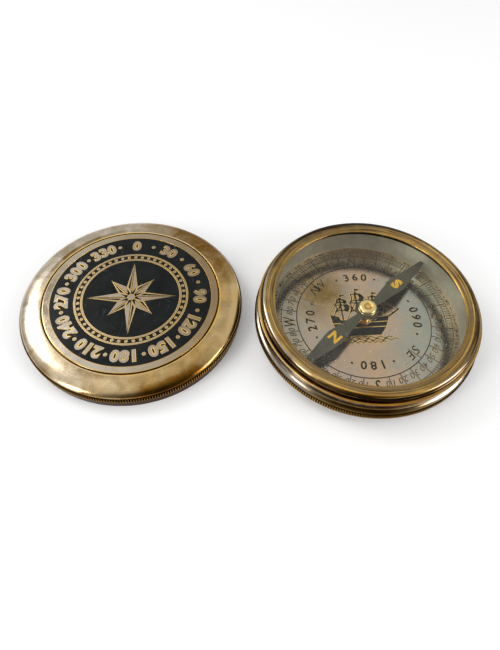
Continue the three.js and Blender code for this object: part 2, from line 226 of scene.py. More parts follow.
# Dome: painted highlight at the right edge, painted shade at the back right, front right and front left; the
# band spot darkens a band near the mouth at the upper left
DOME_PAINTED_SHADE = ((-0.55, 48, 50), (-0.15, -62, 40))
DOME_OUTER_PAINTED_LIGHT = ((0.5, -5, 48), (-0.35, -64, 28))
DOME_INNER_PAINTED_SHADE = ((-0.3, -128, 40), (-0.12, -90, 50))
DOME_BAND_DARKER = ((-0.45, 138, 62),)
# Border: painted shade at the far left
BORDER_PAINTED_SHADE = ((-0.3, 175, 65),)


def placed(name, data):
    obj = bpy.data.objects.new(name, data)
    scene.collection.objects.link(obj)
    return obj


def circle(radius, count, x=0.0, y=0.0):
    turns = [2 * pi * i / count for i in range(count)]
    return [(x + radius * cos(a), y + radius * sin(a)) for a in turns]


def at(radius, bearing):
    """A place by its radius and its bearing in degrees clockwise from +Y."""
    a = radians(90 - bearing)
    return (radius * cos(a), radius * sin(a))


# Turned pieces: a section is a list of (radius, height, tone), and tone runs from -1, dark, to 1, bright

PLAIN_CORNER = (0, 0, None)
ROUNDING_SHARE = 0.4
EDGE_FADE = 0.35
FADE_ROOM = 2.5
EDGE_STEPS = 4
TINY = 1e-6
SHARP_ANGLE = 35.0


def section(corners):
    """Corners are (radius, height, tone of the face that follows, rounding, tone of the edge)."""
    full = [(*c, *PLAIN_CORNER[len(c) - 2:]) for c in corners]
    points = []
    for i, (r, z, face, rounding, edge) in enumerate(full):
        before = full[i - 1]
        here = Vector((r, z))
        back = Vector(before[:2]) - here
        on = Vector(full[(i + 1) % len(full)][:2]) - here
        near = min(rounding, back.length * ROUNDING_SHARE, on.length * ROUNDING_SHARE)
        if near < TINY:
            points.append((r, z, face if edge is None else edge))
            continue
        back_way = back.normalized()
        on_way = on.normalized()
        tone = (before[2] + face) / 2 if edge is None else edge
        start = here + back_way * near
        end = here + on_way * near
        room = FADE_ROOM * (near + EDGE_FADE)
        if edge is not None and back.length > room:
            points.append((*(start + back_way * EDGE_FADE), before[2]))
        for k in range(EDGE_STEPS + 1):
            t = k / EDGE_STEPS
            p = start * (1 - t) ** 2 + here * 2 * t * (1 - t) + end * t ** 2
            points.append((p.x, p.y, tone))
        if edge is not None and on.length > room:
            points.append((*(end + on_way * EDGE_FADE), face))
    return points


def paint(mesh, name, values):
    mesh.attributes.new(name, "FLOAT", "POINT").data.foreach_set("value", values)


def lathe(name, points, segments=ROUND, extra=None):
    """Turns a section about Z; extra(radius, height, angle) is added to a point's radius and tone."""
    verts, tones, index = [], [], []
    for r, z, tone in points:
        row = []
        for i in range(1 if r == 0 else segments):
            angle = 2 * pi * i / segments
            out, lift = extra(r, z, angle) if extra else (0.0, 0.0)
            row.append(len(verts))
            verts.append(((r + out) * cos(angle) * MM, (r + out) * sin(angle) * MM, z * MM))
            tones.append(tone + lift)
        index.append(row)
    faces = []
    on_axis = points[0][0] == 0 and points[-1][0] == 0
    for k in range(len(points) - 1 if on_axis else len(points)):
        low = index[k]
        high = index[(k + 1) % len(points)]
        for i in range(segments):
            j = (i + 1) % segments
            ring = (low[i % len(low)], low[j % len(low)], high[j % len(high)], high[i % len(high)])
            face = list(dict.fromkeys(ring))
            if len(face) > 2:
                faces.append(face)
    mesh = bpy.data.meshes.new(name)
    mesh.from_pydata(verts, [], faces)
    paint(mesh, "tone", tones)
    mesh.polygons.foreach_set("use_smooth", [True] * len(mesh.polygons))
    mesh.set_sharp_from_angle(angle=radians(SHARP_ANGLE))
    return placed(name, mesh)


def near_angle(angle, centre, width):
    """1 at a place round the axis, falling smoothly to 0 a width away, in degrees."""
    away = abs((degrees(angle) - centre + 180) % 360 - 180)
    return max(0.0, 1 - (away / width) ** 2) ** 2


def worn(angle, spots):
    """The change of tone that spots round the axis make at an angle."""
    return sum(amount * near_angle(angle, centre, width) for amount, centre, width in spots)


def ease(value, low, high):
    """0 below low, 1 above high, smooth between."""
    t = min(1.0, max(0.0, (value - low) / (high - low)))
    return t * t * (3 - 2 * t)


def ridge(height, angle, start):
    """How far a thread's ridge stands out at a height and angle."""
    best = 0.0
    for n in range(-1, 3):
        turn = angle / (2 * pi) + n
        if 0 <= turn <= THREAD_TURNS:
            runout = min(1.0, turn / THREAD_RUNOUT, (THREAD_TURNS - turn) / THREAD_RUNOUT)
            away = abs(height - start - turn * THREAD_PITCH)
            rise = (THREAD_ROOT / 2 - away) / ((THREAD_ROOT - THREAD_CREST) / 2)
            best = max(best, min(1.0, max(0.0, rise)) * runout)
    return best


def threaded(radius, low, high, tone):
    """Close-set points up or down a wall that carries the thread."""
    count = int(abs(high - low) / THREAD_STEP)
    return [(radius, low + (high - low) * i / count, tone) for i in range(1, count)]


def arc(count, place):
    return [place(i / count * pi / 2) for i in range(count + 1)]


def knurl(name, bottom, top, shine, spots):
    """The toothed band, its ribs run out at both edges; spots tell where their shine changes."""
    inner = KNURL_SEAT + KNURL_PLAY
    edge = KNURL_ROOT - KNURL_CHAMFER
    low = bottom + KNURL_PLAY
    high = top - KNURL_PLAY
    points = [
        (inner, low, -0.9), (edge, low, -0.8), (KNURL_ROOT, low + KNURL_CHAMFER, -1.6),
        (KNURL_ROOT, high - KNURL_CHAMFER, -1.6), (edge, high, -1.2), (inner, high, -1.2),
    ]
    steps = len(KNURL_RIB)

    def teeth(r, z, angle):
        if r != KNURL_ROOT:
            return 0.0, 0.0
        rib = KNURL_RIB[round(angle / (2 * pi) * KNURL_TEETH * steps) % steps]
        return (KNURL_TIP - KNURL_ROOT) * rib, (shine + worn(angle, spots)) * rib

    return lathe(name, points, KNURL_TEETH * steps, teeth)


# Flat solids: thin shapes that stand on a plate, gathered in one mesh

SHARPEST_MITRE = 0.35


class Solids:
    def __init__(self, bottom, top):
        self.bottom = bottom
        self.top = top
        self.verts = []
        self.faces = []

    def add(self, verts, faces):
        start = len(self.verts)
        self.verts.extend(verts)
        self.faces.extend([start + v for v in face] for face in faces)

    def plate(self, outline):
        n = len(outline)
        verts = [(x, y, z) for z in (self.bottom, self.top) for x, y in outline]
        faces = [list(range(n))[::-1], list(range(n, 2 * n))]
        faces += [[i, (i + 1) % n, n + (i + 1) % n, n + i] for i in range(n)]
        self.add(verts, faces)

    def band(self, left, right, closed):
        """A strip between two rows of points."""
        verts, faces = [], []
        for a, b in zip(left, right):
            verts += [(*a, self.bottom), (*b, self.bottom), (*b, self.top), (*a, self.top)]
        n = len(left)
        for i in range(n if closed else n - 1):
            j = (i + 1) % n
            for k in range(4):
                m = (k + 1) % 4
                faces.append([i * 4 + k, j * 4 + k, j * 4 + m, i * 4 + m])
        if not closed:
            last = (n - 1) * 4
            faces += [[3, 2, 1, 0], [last, last + 1, last + 2, last + 3]]
        self.add(verts, faces)

    def ring(self, inner, outer, segments=ROUND):
        self.band(circle(inner, segments), circle(outer, segments), True)

    def disc(self, x, y, radius, segments=14):
        self.plate(circle(radius, segments, x, y))

    def bar(self, bearing, inner, outer, width):
        out = Vector(at(1.0, bearing))
        side = Vector((-out.y, out.x)) * (width / 2)
        corners = (out * inner - side, out * outer - side, out * outer + side, out * inner + side)
        self.plate([tuple(p) for p in corners])

    def stroke(self, points, width, closed=False):
        """A line of even width through points, mitred at its corners."""
        pts = [Vector(p) for p in points]
        n = len(pts)
        left, right = [], []
        for i, p in enumerate(pts):
            ahead = pts[(i + 1) % n] - p if closed or i < n - 1 else p - pts[i - 1]
            behind = p - pts[i - 1] if closed or i > 0 else ahead
            a = Vector((-ahead.y, ahead.x)).normalized()
            b = Vector((-behind.y, behind.x)).normalized()
            across = (a + b).normalized()
            reach = width / 2 / max(SHARPEST_MITRE, across.dot(a))
            left.append(p + across * reach)
            right.append(p - across * reach)
        self.band(left, right, closed)

    def text(self, words, height, radius, bearing, shift=0.0, bold=0.0, slant=0.0, narrow=1.0):
        """Letters with their tops outwards at a bearing, moved along the rim by shift."""
        verts, faces = letters(words, bold, slant)
        out = Vector(at(1.0, bearing))
        along = Vector((out.y, -out.x))
        spots = []
        for x, y, z in verts:
            p = along * (x * narrow * height + shift) + out * (y * height + radius)
            spots.append((p.x, p.y, self.bottom + z * (self.top - self.bottom)))
        self.add(spots, faces)

    def build(self, name):
        mesh = bpy.data.meshes.new(name)
        mesh.from_pydata([(x * MM, y * MM, z * MM) for x, y, z in self.verts], [], self.faces)
        work = bmesh.new()
        work.from_mesh(mesh)
        bmesh.ops.recalc_face_normals(work, faces=work.faces)
        work.to_mesh(mesh)
        work.free()
        return placed(name, mesh)


LETTER_CURVE_STEPS = 3
LETTER_MERGE = 1e-4
LETTER_SLIVER = 1e-5


@lru_cache(None)
def letters(words, bold, slant):
    """Closed letters, one unit tall, centred on the origin, standing from 0 to 1."""
    curve = bpy.data.curves.new("letters", "FONT")
    curve.body = words
    curve.align_x = "CENTER"
    curve.extrude = 0.5
    curve.offset = bold
    curve.shear = slant
    curve.resolution_u = LETTER_CURVE_STEPS
    holder = placed("letters", curve)
    ready = holder.evaluated_get(bpy.context.evaluated_depsgraph_get())
    mesh = bpy.data.meshes.new_from_object(ready)
    work = bmesh.new()
    work.from_mesh(mesh)
    bmesh.ops.remove_doubles(work, verts=work.verts, dist=LETTER_MERGE)
    bmesh.ops.dissolve_degenerate(work, edges=work.edges, dist=LETTER_SLIVER)
    work.verts.index_update()
    found = [tuple(v.co) for v in work.verts]
    faces = [[v.index for v in f.verts] for f in work.faces]
    work.free()
    bpy.data.objects.remove(holder)
    bpy.data.curves.remove(curve)
    bpy.data.meshes.remove(mesh)
    xs, ys, _ = zip(*found)
    tall = max(ys) - min(ys)
    mid = ((max(xs) + min(xs)) / 2, (max(ys) + min(ys)) / 2)
    verts = [((x - mid[0]) / tall, (y - mid[1]) / tall, z + 0.5) for x, y, z in found]
    return verts, faces


# Materials

class Nodes:
    """A node tree, with short ways to add what it needs."""

    def __init__(self, owner):
        owner.use_nodes = True
        self.tree = owner.node_tree

    def add(self, kind, **settings):
        """A new node; a setting that names an input goes into it."""
        node = self.tree.nodes.new(kind)
        for key, value in settings.items():
            if key in node.inputs:
                self.put(node.inputs[key], value)
            else:
                setattr(node, key, value)
        return node

    def put(self, socket, value):
        if isinstance(value, bpy.types.NodeSocket):
            self.tree.links.new(value, socket)
        elif isinstance(value, tuple) and len(value) == 3 and len(socket.default_value) == 4:
            socket.default_value = (*value, 1.0)
        else:
            socket.default_value = value

    def fill(self, node, *values):
        """Puts values in a node's inputs in their order and gives its first output."""
        for socket, value in zip(node.inputs, values):
            self.put(socket, value)
        return node.outputs[0]

    def math(self, operation, *values):
        return self.fill(self.add("ShaderNodeMath", operation=operation), *values)

    def plus(self, a, b):
        return self.math("ADD", a, b)

    def minus(self, a, b):
        return self.math("SUBTRACT", a, b)

    def times(self, a, b):
        return self.math("MULTIPLY", a, b)

    def sway(self, level, noise, amount):
        """A level moved up and down by a noise that lies about a half."""
        return self.plus(level, self.times(self.minus(noise, 0.5), amount))

    def join(self, x, y, z):
        return self.fill(self.add("ShaderNodeCombineXYZ"), x, y, z)


class Finish(Nodes):
    """A node material."""

    def __init__(self, name, rough, metal=0.0):
        self.material = bpy.data.materials.new(name)
        super().__init__(self.material)
        self.shader = self.tree.nodes["Principled BSDF"]
        self.set("Roughness", rough)
        self.set("Metallic", metal)
        self.place = self.add("ShaderNodeTexCoord").outputs["Object"]

    def set(self, name, value):
        self.put(self.shader.inputs[name], value)

    def reach(self, x, y):
        return self.math("SQRT", self.plus(self.times(x, x), self.times(y, y)))

    def noise(self, scale, detail=2.0, rough=0.5, vector=None, stretch=0.0, **fourth):
        node = self.add("ShaderNodeTexNoise", noise_dimensions="4D" if fourth else "3D", Scale=scale,
                        Detail=detail, Roughness=rough, Distortion=stretch,
                        Vector=vector or self.place, **fourth)
        return node.outputs["Fac"]

    def spread(self, value, low, high, to_low=0.0, to_high=1.0):
        return self.fill(self.add("ShaderNodeMapRange", clamp=True), value, low, high, to_low, to_high)

    def ramp(self, value, stops):
        node = self.add("ShaderNodeValToRGB")
        band = node.color_ramp
        while len(band.elements) < len(stops):
            band.elements.new(0.5)
        for element, (place, colour) in zip(band.elements, stops):
            element.position = place
            element.color = (*colour, 1.0)
        return self.fill(node, value)

    def mix(self, share, first, second, blend="MIX"):
        node = self.add("ShaderNodeMix", data_type="RGBA", blend_type=blend, Factor=share)
        self.put(node.inputs[6], first)
        self.put(node.inputs[7], second)
        return node.outputs[2]

    def layers(self, share, first, second):
        return self.fill(self.add("ShaderNodeMixShader"), share, first, second)

    def parts(self, vector=None):
        node = self.add("ShaderNodeSeparateXYZ")
        self.fill(node, vector or self.place)
        return node.outputs

    def shifted(self, by):
        return self.fill(self.add("ShaderNodeVectorMath", operation="ADD"), self.place, (by, by, by))

    def radius(self):
        x, y, _ = self.parts()
        return self.reach(x, y)

    def painted(self, name):
        return self.add("ShaderNodeAttribute", attribute_name=name).outputs["Fac"]

    def turning(self, fineness, run):
        """Fine marks that run round the axis, broken up along the way."""
        x, y, z = self.parts()
        r = self.radius()
        safe = self.math("MAXIMUM", r, 1e-5)
        east = self.times(self.math("DIVIDE", x, safe), run)
        north = self.times(self.math("DIVIDE", y, safe), run)
        line = self.join(self.times(r, fineness), self.times(z, fineness), east)
        return self.noise(1.0, 3.0, 0.6, line, W=north)

    def bump(self, height, strength, depth):
        node = self.add("ShaderNodeBump", Height=height, Strength=strength, Distance=depth * MM)
        self.set("Normal", node.outputs["Normal"])


GILT = (1.08, 0.86, 0.46)
BROWN_TO_RIGHT = (0.56, 0.45, 0.29)
GOLDEN = (0.95, 0.77, 0.4)
ORANGE = (1.05, 0.8, 0.36)
RIB_TINT = (0.6, 0.45, 0.22)
ANTIQUE = ((0, (0.012, 0.006, 0.0015)), (0.25, (0.075, 0.042, 0.014)), (0.5, (0.27, 0.185, 0.088)),
           (0.7, (0.42, 0.27, 0.09)), (0.85, (0.61, 0.395, 0.11)), (1, (0.88, 0.63, 0.24)))
BARREL = ((0, (0.03, 0.016, 0.005)), (0.25, (0.13, 0.09, 0.045)), (0.45, (0.27, 0.235, 0.19)),
          (0.6, (0.37, 0.335, 0.285)), (0.85, (0.52, 0.48, 0.42)), (1, (0.64, 0.59, 0.52)))
DOME = ((0, (0.05, 0.022, 0.004)), (0.25, (0.25, 0.14, 0.03)), (0.45, (0.54, 0.46, 0.345)),
        (0.6, (0.8, 0.7, 0.575)), (0.8, (0.87, 0.73, 0.53)), (1, (0.98, 0.7, 0.24)))
RIBBED = ((0, (0.004, 0.003, 0.001)), (0.5, (0.08, 0.046, 0.012)), (0.8, (0.5, 0.285, 0.07)),
          (1, (1.0, 0.63, 0.2)))
POLISHED = ((0, (0.16, 0.08, 0.015)), (0.3, (0.76, 0.41, 0.075)), (0.5, (1.0, 0.66, 0.19)),
            (1, (1.0, 0.84, 0.42)))
PLATED = ((0, (0.03, 0.02, 0.01)), (0.25, (0.25, 0.19, 0.12)), (0.4, (0.56, 0.48, 0.38)),
          (0.6, (0.7, 0.64, 0.55)), (0.85, (0.76, 0.56, 0.26)), (1, (0.8, 0.55, 0.18)))
WALL = ((0, (0.015, 0.014, 0.01)), (0.2, (0.26, 0.25, 0.2)), (0.5, (0.54, 0.53, 0.435)),
        (0.75, (0.8, 0.79, 0.68)), (1, (0.66, 0.56, 0.32)))
SILVERED = ((0, (0.57, 0.46, 0.345)), (0.5, (0.735, 0.49, 0.325)), (0.8, (0.52, 0.495, 0.405)),
            (1, (0.46, 0.485, 0.41)))
TARNISH_BROWN = (0.27, 0.155, 0.022)
TARNISH_YELLOW = (0.64, 0.5, 0.27)
TARNISH_GREEN = (0.42, 0.47, 0.41)
TARNISH_RED = (0.43, 0.305, 0.2)
RIM_BROWN = (0.46, 0.32, 0.19)
WEST_OLIVE = (0.27, 0.275, 0.21)
TARNISH_AT = (-0.0145, 0.011)
INK_BLACK = ((0.3, (0.014, 0.015, 0.012)), (0.6, (0.03, 0.027, 0.018)), (0.8, (0.1, 0.07, 0.03)))
INK_BROWN = ((0.3, (0.06, 0.04, 0.018)), (0.7, (0.19, 0.125, 0.05)))
ENAMEL_BLACK = ((0.3, (0.006, 0.007, 0.0075)), (0.7, (0.015, 0.017, 0.017)))
SCRATCH_GREY = (0.2, 0.2, 0.19)
SCRATCHES = ((0.4, 2600.0, 90.0), (-0.7, 2200.0, 70.0), (1.35, 2400.0, 110.0))
OLIVE = ((0.3, (0.062, 0.058, 0.036)), (0.7, (0.096, 0.088, 0.056)))
LETTER_YELLOW = ((0.25, (0.55, 0.28, 0.008)), (0.6, (0.86, 0.49, 0.02)))
RUBBER = ((0.3, (0.014, 0.012, 0.009)), (0.7, (0.03, 0.026, 0.019)))
STEEL = ((0.3, (0.36, 0.36, 0.36)), (0.7, (0.56, 0.55, 0.53)))
JEWEL = ((0.3, (0.7, 0.64, 0.54)), (0.7, (0.86, 0.82, 0.74)))
GLASS_CLEAR = (0.99, 0.995, 0.985)
DUST = (0.8, 0.76, 0.66)
WHITE = (1.0, 1.0, 1.0)


def brass(name, stops, rough, mottle, streak, blotch=170.0, gild=0.0, rings=0.0, fall=None, over=None,
          metal=1.0, tint=None):
    """Turned brass, its colour led by the painted tone, patches of patina and fine turning marks."""
    f = Finish(name, rough, metal)
    lines = f.turning(fineness=2400.0, run=2.2)
    patches = f.noise(blotch, 5.0, 0.62, stretch=0.6)
    specks = f.noise(2600.0, 3.0, 0.6)
    marked = f.minus(1.0, f.times(f.painted("plain"), 0.85))
    level = f.sway(f.painted("tone"), patches, 2 * mottle)
    level = f.sway(level, lines, f.times(marked, 2 * streak))
    level = f.sway(level, specks, 0.25)
    if rings:
        level = f.sway(level, f.turning(fineness=1300.0, run=1.2), f.times(marked, 2 * rings))
    share = f.spread(level, -1.0, 1.0)
    colour = f.ramp(share, stops)
    if gild:
        golden = f.noise(blotch * 0.8, 4.0, 0.6, f.shifted(0.31), stretch=1.2)
        colour = f.mix(f.spread(golden, 0.46, 0.66, 0.0, gild), colour, GILT, "MULTIPLY")
    if fall:
        x, y, _ = f.parts()
        along = f.plus(f.times(x, fall[0]), f.times(y, fall[1]))
        colour = f.mix(f.spread(along, -0.02, 0.025, 0.0, 0.9), colour, fall[2], "MULTIPLY")
    if over:
        # The plate share lays on the plate colour: plating in part, and by side painted highlights,
        # reflections and shade; warm adds an orange tint at the front
        colour = f.mix(f.painted("plate"), colour, f.ramp(share, over))
        colour = f.mix(f.painted("warm"), colour, ORANGE, "MULTIPLY")
    if tint:
        f.set("Specular Tint", tint)
    f.set("Base Color", colour)
    dull = f.plus(patches, f.times(lines, 0.3))
    f.set("Roughness", f.spread(dull, 0.35, 0.95, rough - 0.07, rough + 0.12))
    f.bump(lines, strength=0.25, depth=0.012)
    return f.material


def dial_finish():
    """Silvered plate, polished, its tarnish in soft warm and cool clouds."""
    f = Finish("silvered_dial", 0.14, 1.0)
    x, y, _ = f.parts()
    clouds = f.noise(60.0, 4.0, 0.55, stretch=0.8)
    fine = f.noise(900.0, 4.0, 0.6)
    colour = f.ramp(f.spread(f.sway(x, clouds, 0.03), -0.018, 0.022), SILVERED)
    away = f.reach(f.minus(x, TARNISH_AT[0]), f.minus(y, TARNISH_AT[1]))
    away = f.sway(away, clouds, 0.012)
    colour = f.mix(f.spread(away, 0.004, 0.0145, 0.95, 0.0), colour, TARNISH_BROWN)
    hue = f.noise(230.0, 3.0, 0.55, f.shifted(0.17), stretch=0.5)
    mixed = f.sway(clouds, fine, 0.5)
    outer = f.sway(f.radius(), mixed, 0.006)
    west = f.sway(x, mixed, 0.006)
    # Stains in clouds; the plate also turns browner towards the rim and darker olive at the west edge
    for value, low, high, most, stain in (
        (hue, 0.52, 0.68, 0.45, TARNISH_YELLOW), (hue, 0.46, 0.32, 0.45, TARNISH_GREEN),
        (mixed, 0.52, 0.75, 0.3, TARNISH_RED), (outer, 0.0265, 0.031, 0.6, RIM_BROWN),
        (west, -0.0205, -0.0255, 0.5, WEST_OLIVE),
    ):
        colour = f.mix(f.spread(value, low, high, 0.0, most), colour, stain)
    f.set("Base Color", colour)
    f.set("Roughness", f.spread(fine, 0.3, 0.75, 0.14, 0.26))
    f.bump(fine, strength=0.06, depth=0.01)
    return f.material


def ink_finish():
    """Etched black, turning brown towards the rim of the dial, except on the west side."""
    f = Finish("etched_black", 0.6)
    f.set("Specular IOR Level", 0.12)
    wear = f.noise(420.0, 4.0, 0.6)
    x, _, _ = f.parts()
    out = f.plus(f.radius(), f.times(x, 0.25))
    f.set("Base Color", f.mix(f.spread(out, 0.026, 0.030), f.ramp(wear, INK_BLACK), f.ramp(wear, INK_BROWN)))
    f.bump(f.noise(3000.0), strength=0.2, depth=0.01)
    return f.material


def enamel_finish():
    """Gloss black enamel, rubbed, with hairline scratches."""
    f = Finish("black_enamel", 0.28)
    cloud = f.noise(140.0, 5.0, 0.65)
    fine = f.noise(1500.0, 3.0, 0.6)
    x, y, _ = f.parts()
    marks = 0.0
    for turn, squeeze, length in SCRATCHES:
        along = f.plus(f.times(x, cos(turn)), f.times(y, sin(turn)))
        over = f.minus(f.times(y, cos(turn)), f.times(x, sin(turn)))
        line = f.noise(1.0, 1.0, 0.5, f.join(f.times(along, length), f.times(over, squeeze), turn * 10))
        marks = f.math("MAXIMUM", marks, f.spread(line, 0.735, 0.80))
    f.set("Specular IOR Level", 0.1)
    f.set("Base Color", f.mix(f.times(marks, 0.6), f.ramp(cloud, ENAMEL_BLACK), SCRATCH_GREY))
    f.set("Roughness", f.spread(f.plus(cloud, f.times(fine, 0.5)), 0.5, 1.0, 0.22, 0.42))
    f.bump(f.plus(fine, f.times(marks, -0.6)), strength=0.12, depth=0.02)
    return f.material


def needle_finish():
    """Dark olive paint, semi-matt."""
    f = Finish("needle_paint", 0.45)
    f.set("Specular IOR Level", 0.25)
    grain = f.noise(4200.0)
    f.set("Base Color", f.ramp(f.noise(260.0, 4.0, 0.6), OLIVE))
    f.set("Roughness", f.spread(grain, 0.3, 0.7, 0.38, 0.52))
    f.bump(grain, strength=0.15, depth=0.01)
    return f.material


def grained(name, rough, stops, scale, detail=2.0, grain_rough=0.5, relief=0.0):
    """A plain material with one even grain."""
    f = Finish(name, rough)
    grain = f.noise(scale, detail, grain_rough)
    f.set("Base Color", f.ramp(grain, stops))
    if relief:
        f.bump(grain, strength=relief, depth=0.02)
    return f.material


def glass_finish():
    """Clear flat glass: seen through, with a plain sheen and a few dust specks."""
    f = Finish("window_glass", 0.03)
    facing = f.add("ShaderNodeLayerWeight").outputs["Facing"]
    sheen = f.plus(f.times(f.math("POWER", facing, 5.0), 0.9), 0.02)
    clear = f.add("ShaderNodeBsdfTransparent", Color=GLASS_CLEAR).outputs[0]
    gloss = f.add("ShaderNodeBsdfGlossy", Roughness=0.03, Color=WHITE).outputs[0]
    dust = f.add("ShaderNodeBsdfDiffuse", Color=DUST).outputs[0]
    cells = f.add("ShaderNodeTexVoronoi", feature="F1", Vector=f.place, Scale=620.0)
    near = f.spread(cells.outputs["Distance"], 0.05, 0.13, 1.0, 0.0)
    some = f.spread(f.parts(cells.outputs["Color"])[0], 0.90, 0.92)
    smear = f.spread(f.noise(90.0, 4.0, 0.6), 0.55, 0.8, 0.0, 0.025)
    cover = f.plus(f.times(f.times(near, some), 0.75), smear)
    whole = f.layers(cover, f.layers(sheen, clear, gloss), dust)
    f.put(f.tree.nodes["Material Output"].inputs["Surface"], whole)
    f.tree.nodes.remove(f.shader)
    return f.material


case_brass = brass("antique_brass", ANTIQUE, 0.13, mottle=0.4, streak=1.0, gild=0.5, rings=1.0, over=BARREL)
knurl_brass = brass("knurled_brass", RIBBED, 0.3, mottle=0.25, streak=0.1, tint=RIB_TINT)
# fall turns the dome golden towards the right and front and leaves it greyer at the left and back, so its
# highlights there read white: painted highlight colour
dome_brass = brass("dome_brass", DOME, 0.18, mottle=0.55, streak=0.1, blotch=130.0, gild=0.45,
                   fall=(1.0, -0.5, GOLDEN))
hub_brass = brass("polished_brass", POLISHED, 0.2, mottle=0.2, streak=0.25, blotch=700.0)
edge_gold = brass("gold_edge", POLISHED, 0.28, mottle=0.3, streak=0.0, blotch=500.0)
# fall makes the plate browner towards the right
plated = brass("plated_brass", PLATED, 0.12, mottle=0.35, streak=0.0, blotch=230.0, gild=0.35,
               fall=(1.0, 0.1, BROWN_TO_RIGHT))
wall_metal = brass("inner_wall", WALL, 0.42, mottle=0.4, streak=0.1, metal=0.55)
dial_silver = dial_finish()
etched = ink_finish()
enamel = enamel_finish()
needle_paint = needle_finish()
letter_gold = grained("letter_gold", 0.45, LETTER_YELLOW, 1400.0, 3.0, 0.6)
rubber = grained("gasket_rubber", 0.7, RUBBER, 1800.0, relief=0.2)
steel = Finish("pivot_steel", 0.22, 1.0)
steel.set("Base Color", steel.ramp(steel.turning(fineness=9000.0, run=1.5), STEEL))
jewel = grained("jewel_cup", 0.08, JEWEL, 1500.0)
clear_glass = glass_finish()


def dress(obj, body, material, slot, *nodes):
    """Puts a piece in its place on a body, with its material and the solids it stands for."""
    if body == "lid":
        obj.data.transform(Matrix.Rotation(radians(LID_TURN), 4, "Z"))
        obj.location = (LID_CENTRE[0] * MM, LID_CENTRE[1] * MM, 0.0)
    if body == "needle":
        obj.rotation_euler.z = radians(NEEDLE_BEARING)
    obj.data.materials.append(material)
    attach(obj, body)
    if nodes:
        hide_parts(*nodes)


# Case

CROWN_TONES = ((34.65, 0.6), (34.45, 0.3), (34.25, 0.2), (34.0, 0.1), (33.85, 0.0))
BEZEL_CONE = ((32.75, 13.58), (32.45, 13.43, 0.1), (32.0, 13.19, 0.1))
UNDER_STEPS = 14
# Where the plate colour is left off or laid on round the case, and where gold shows: middle and half width
# in degrees
# Leaving it off at the front and back paints shade; laying it on at the crown's sides and the barrel's front
# paints highlights and reflections
FRONT_PAINTED_SHADE = (-98, 42)
BACK_PAINTED_SHADE = (178, 50)
CROWN_PLATE_AND_HIGHLIGHT = (180, 75)
CROWN_PATCH_HIGHLIGHT = (-56, 22)
BARREL_PLATE_AND_REFLECTION = (-90, 50)
FRONT_GOLD = (-98, 45)


def case_wear(r, z, angle):
    """Thread on the collar; ledge, barrel, cove and crown painted bright in places and dark in others:
    painted highlights, reflections and shade.
    """
    if r == COLLAR_R and LEDGE_Z < z < COLLAR_TOP - 0.15:
        rise = ridge(z, angle, LEDGE_Z + THREAD_MARGIN)
        crest = (CREST_SHINE + worn(angle, CREST_PAINTED_SHADE)) * rise ** 2
        return THREAD_DEPTH * rise, crest + worn(angle, THREAD_PAINTED_SHADE)
    if z == LEDGE_Z and r < COLLAR_R + 0.5:
        return 0.0, worn(angle, SHELF_PAINTED_LIGHT)
    if CASE_KNURL_TOP <= z <= LEDGE_Z and r > COLLAR_R:
        if z > LEDGE_EDGE:
            return 0.0, worn(angle, LEDGE_PAINTED_SHADE)
        spots = BARREL_PAINTED_LIGHT
        if z > COVE_FOOT:
            spots += BARREL_BACK_PAINTED_SHADE
        if COVE_TOP - 0.05 < z < COVE_TOP + BAND_HEIGHT + 0.05:
            spots += BAND_PAINTED_LIGHT
        elif z > COVE_TOP:
            spots += OVER_BAND_PAINTED_LIGHT
        else:
            spots += COVE_PAINTED_SHADE
        return 0.0, worn(angle, spots)
    if z >= COLLAR_TOP - 0.02:
        return 0.0, worn(angle, CROWN_PAINTED_LIGHT + CROWN_EDGE_PAINTED_SHADE if r > CROWN_EDGE_R else CROWN_PAINTED_LIGHT)
    return 0.0, 0.0


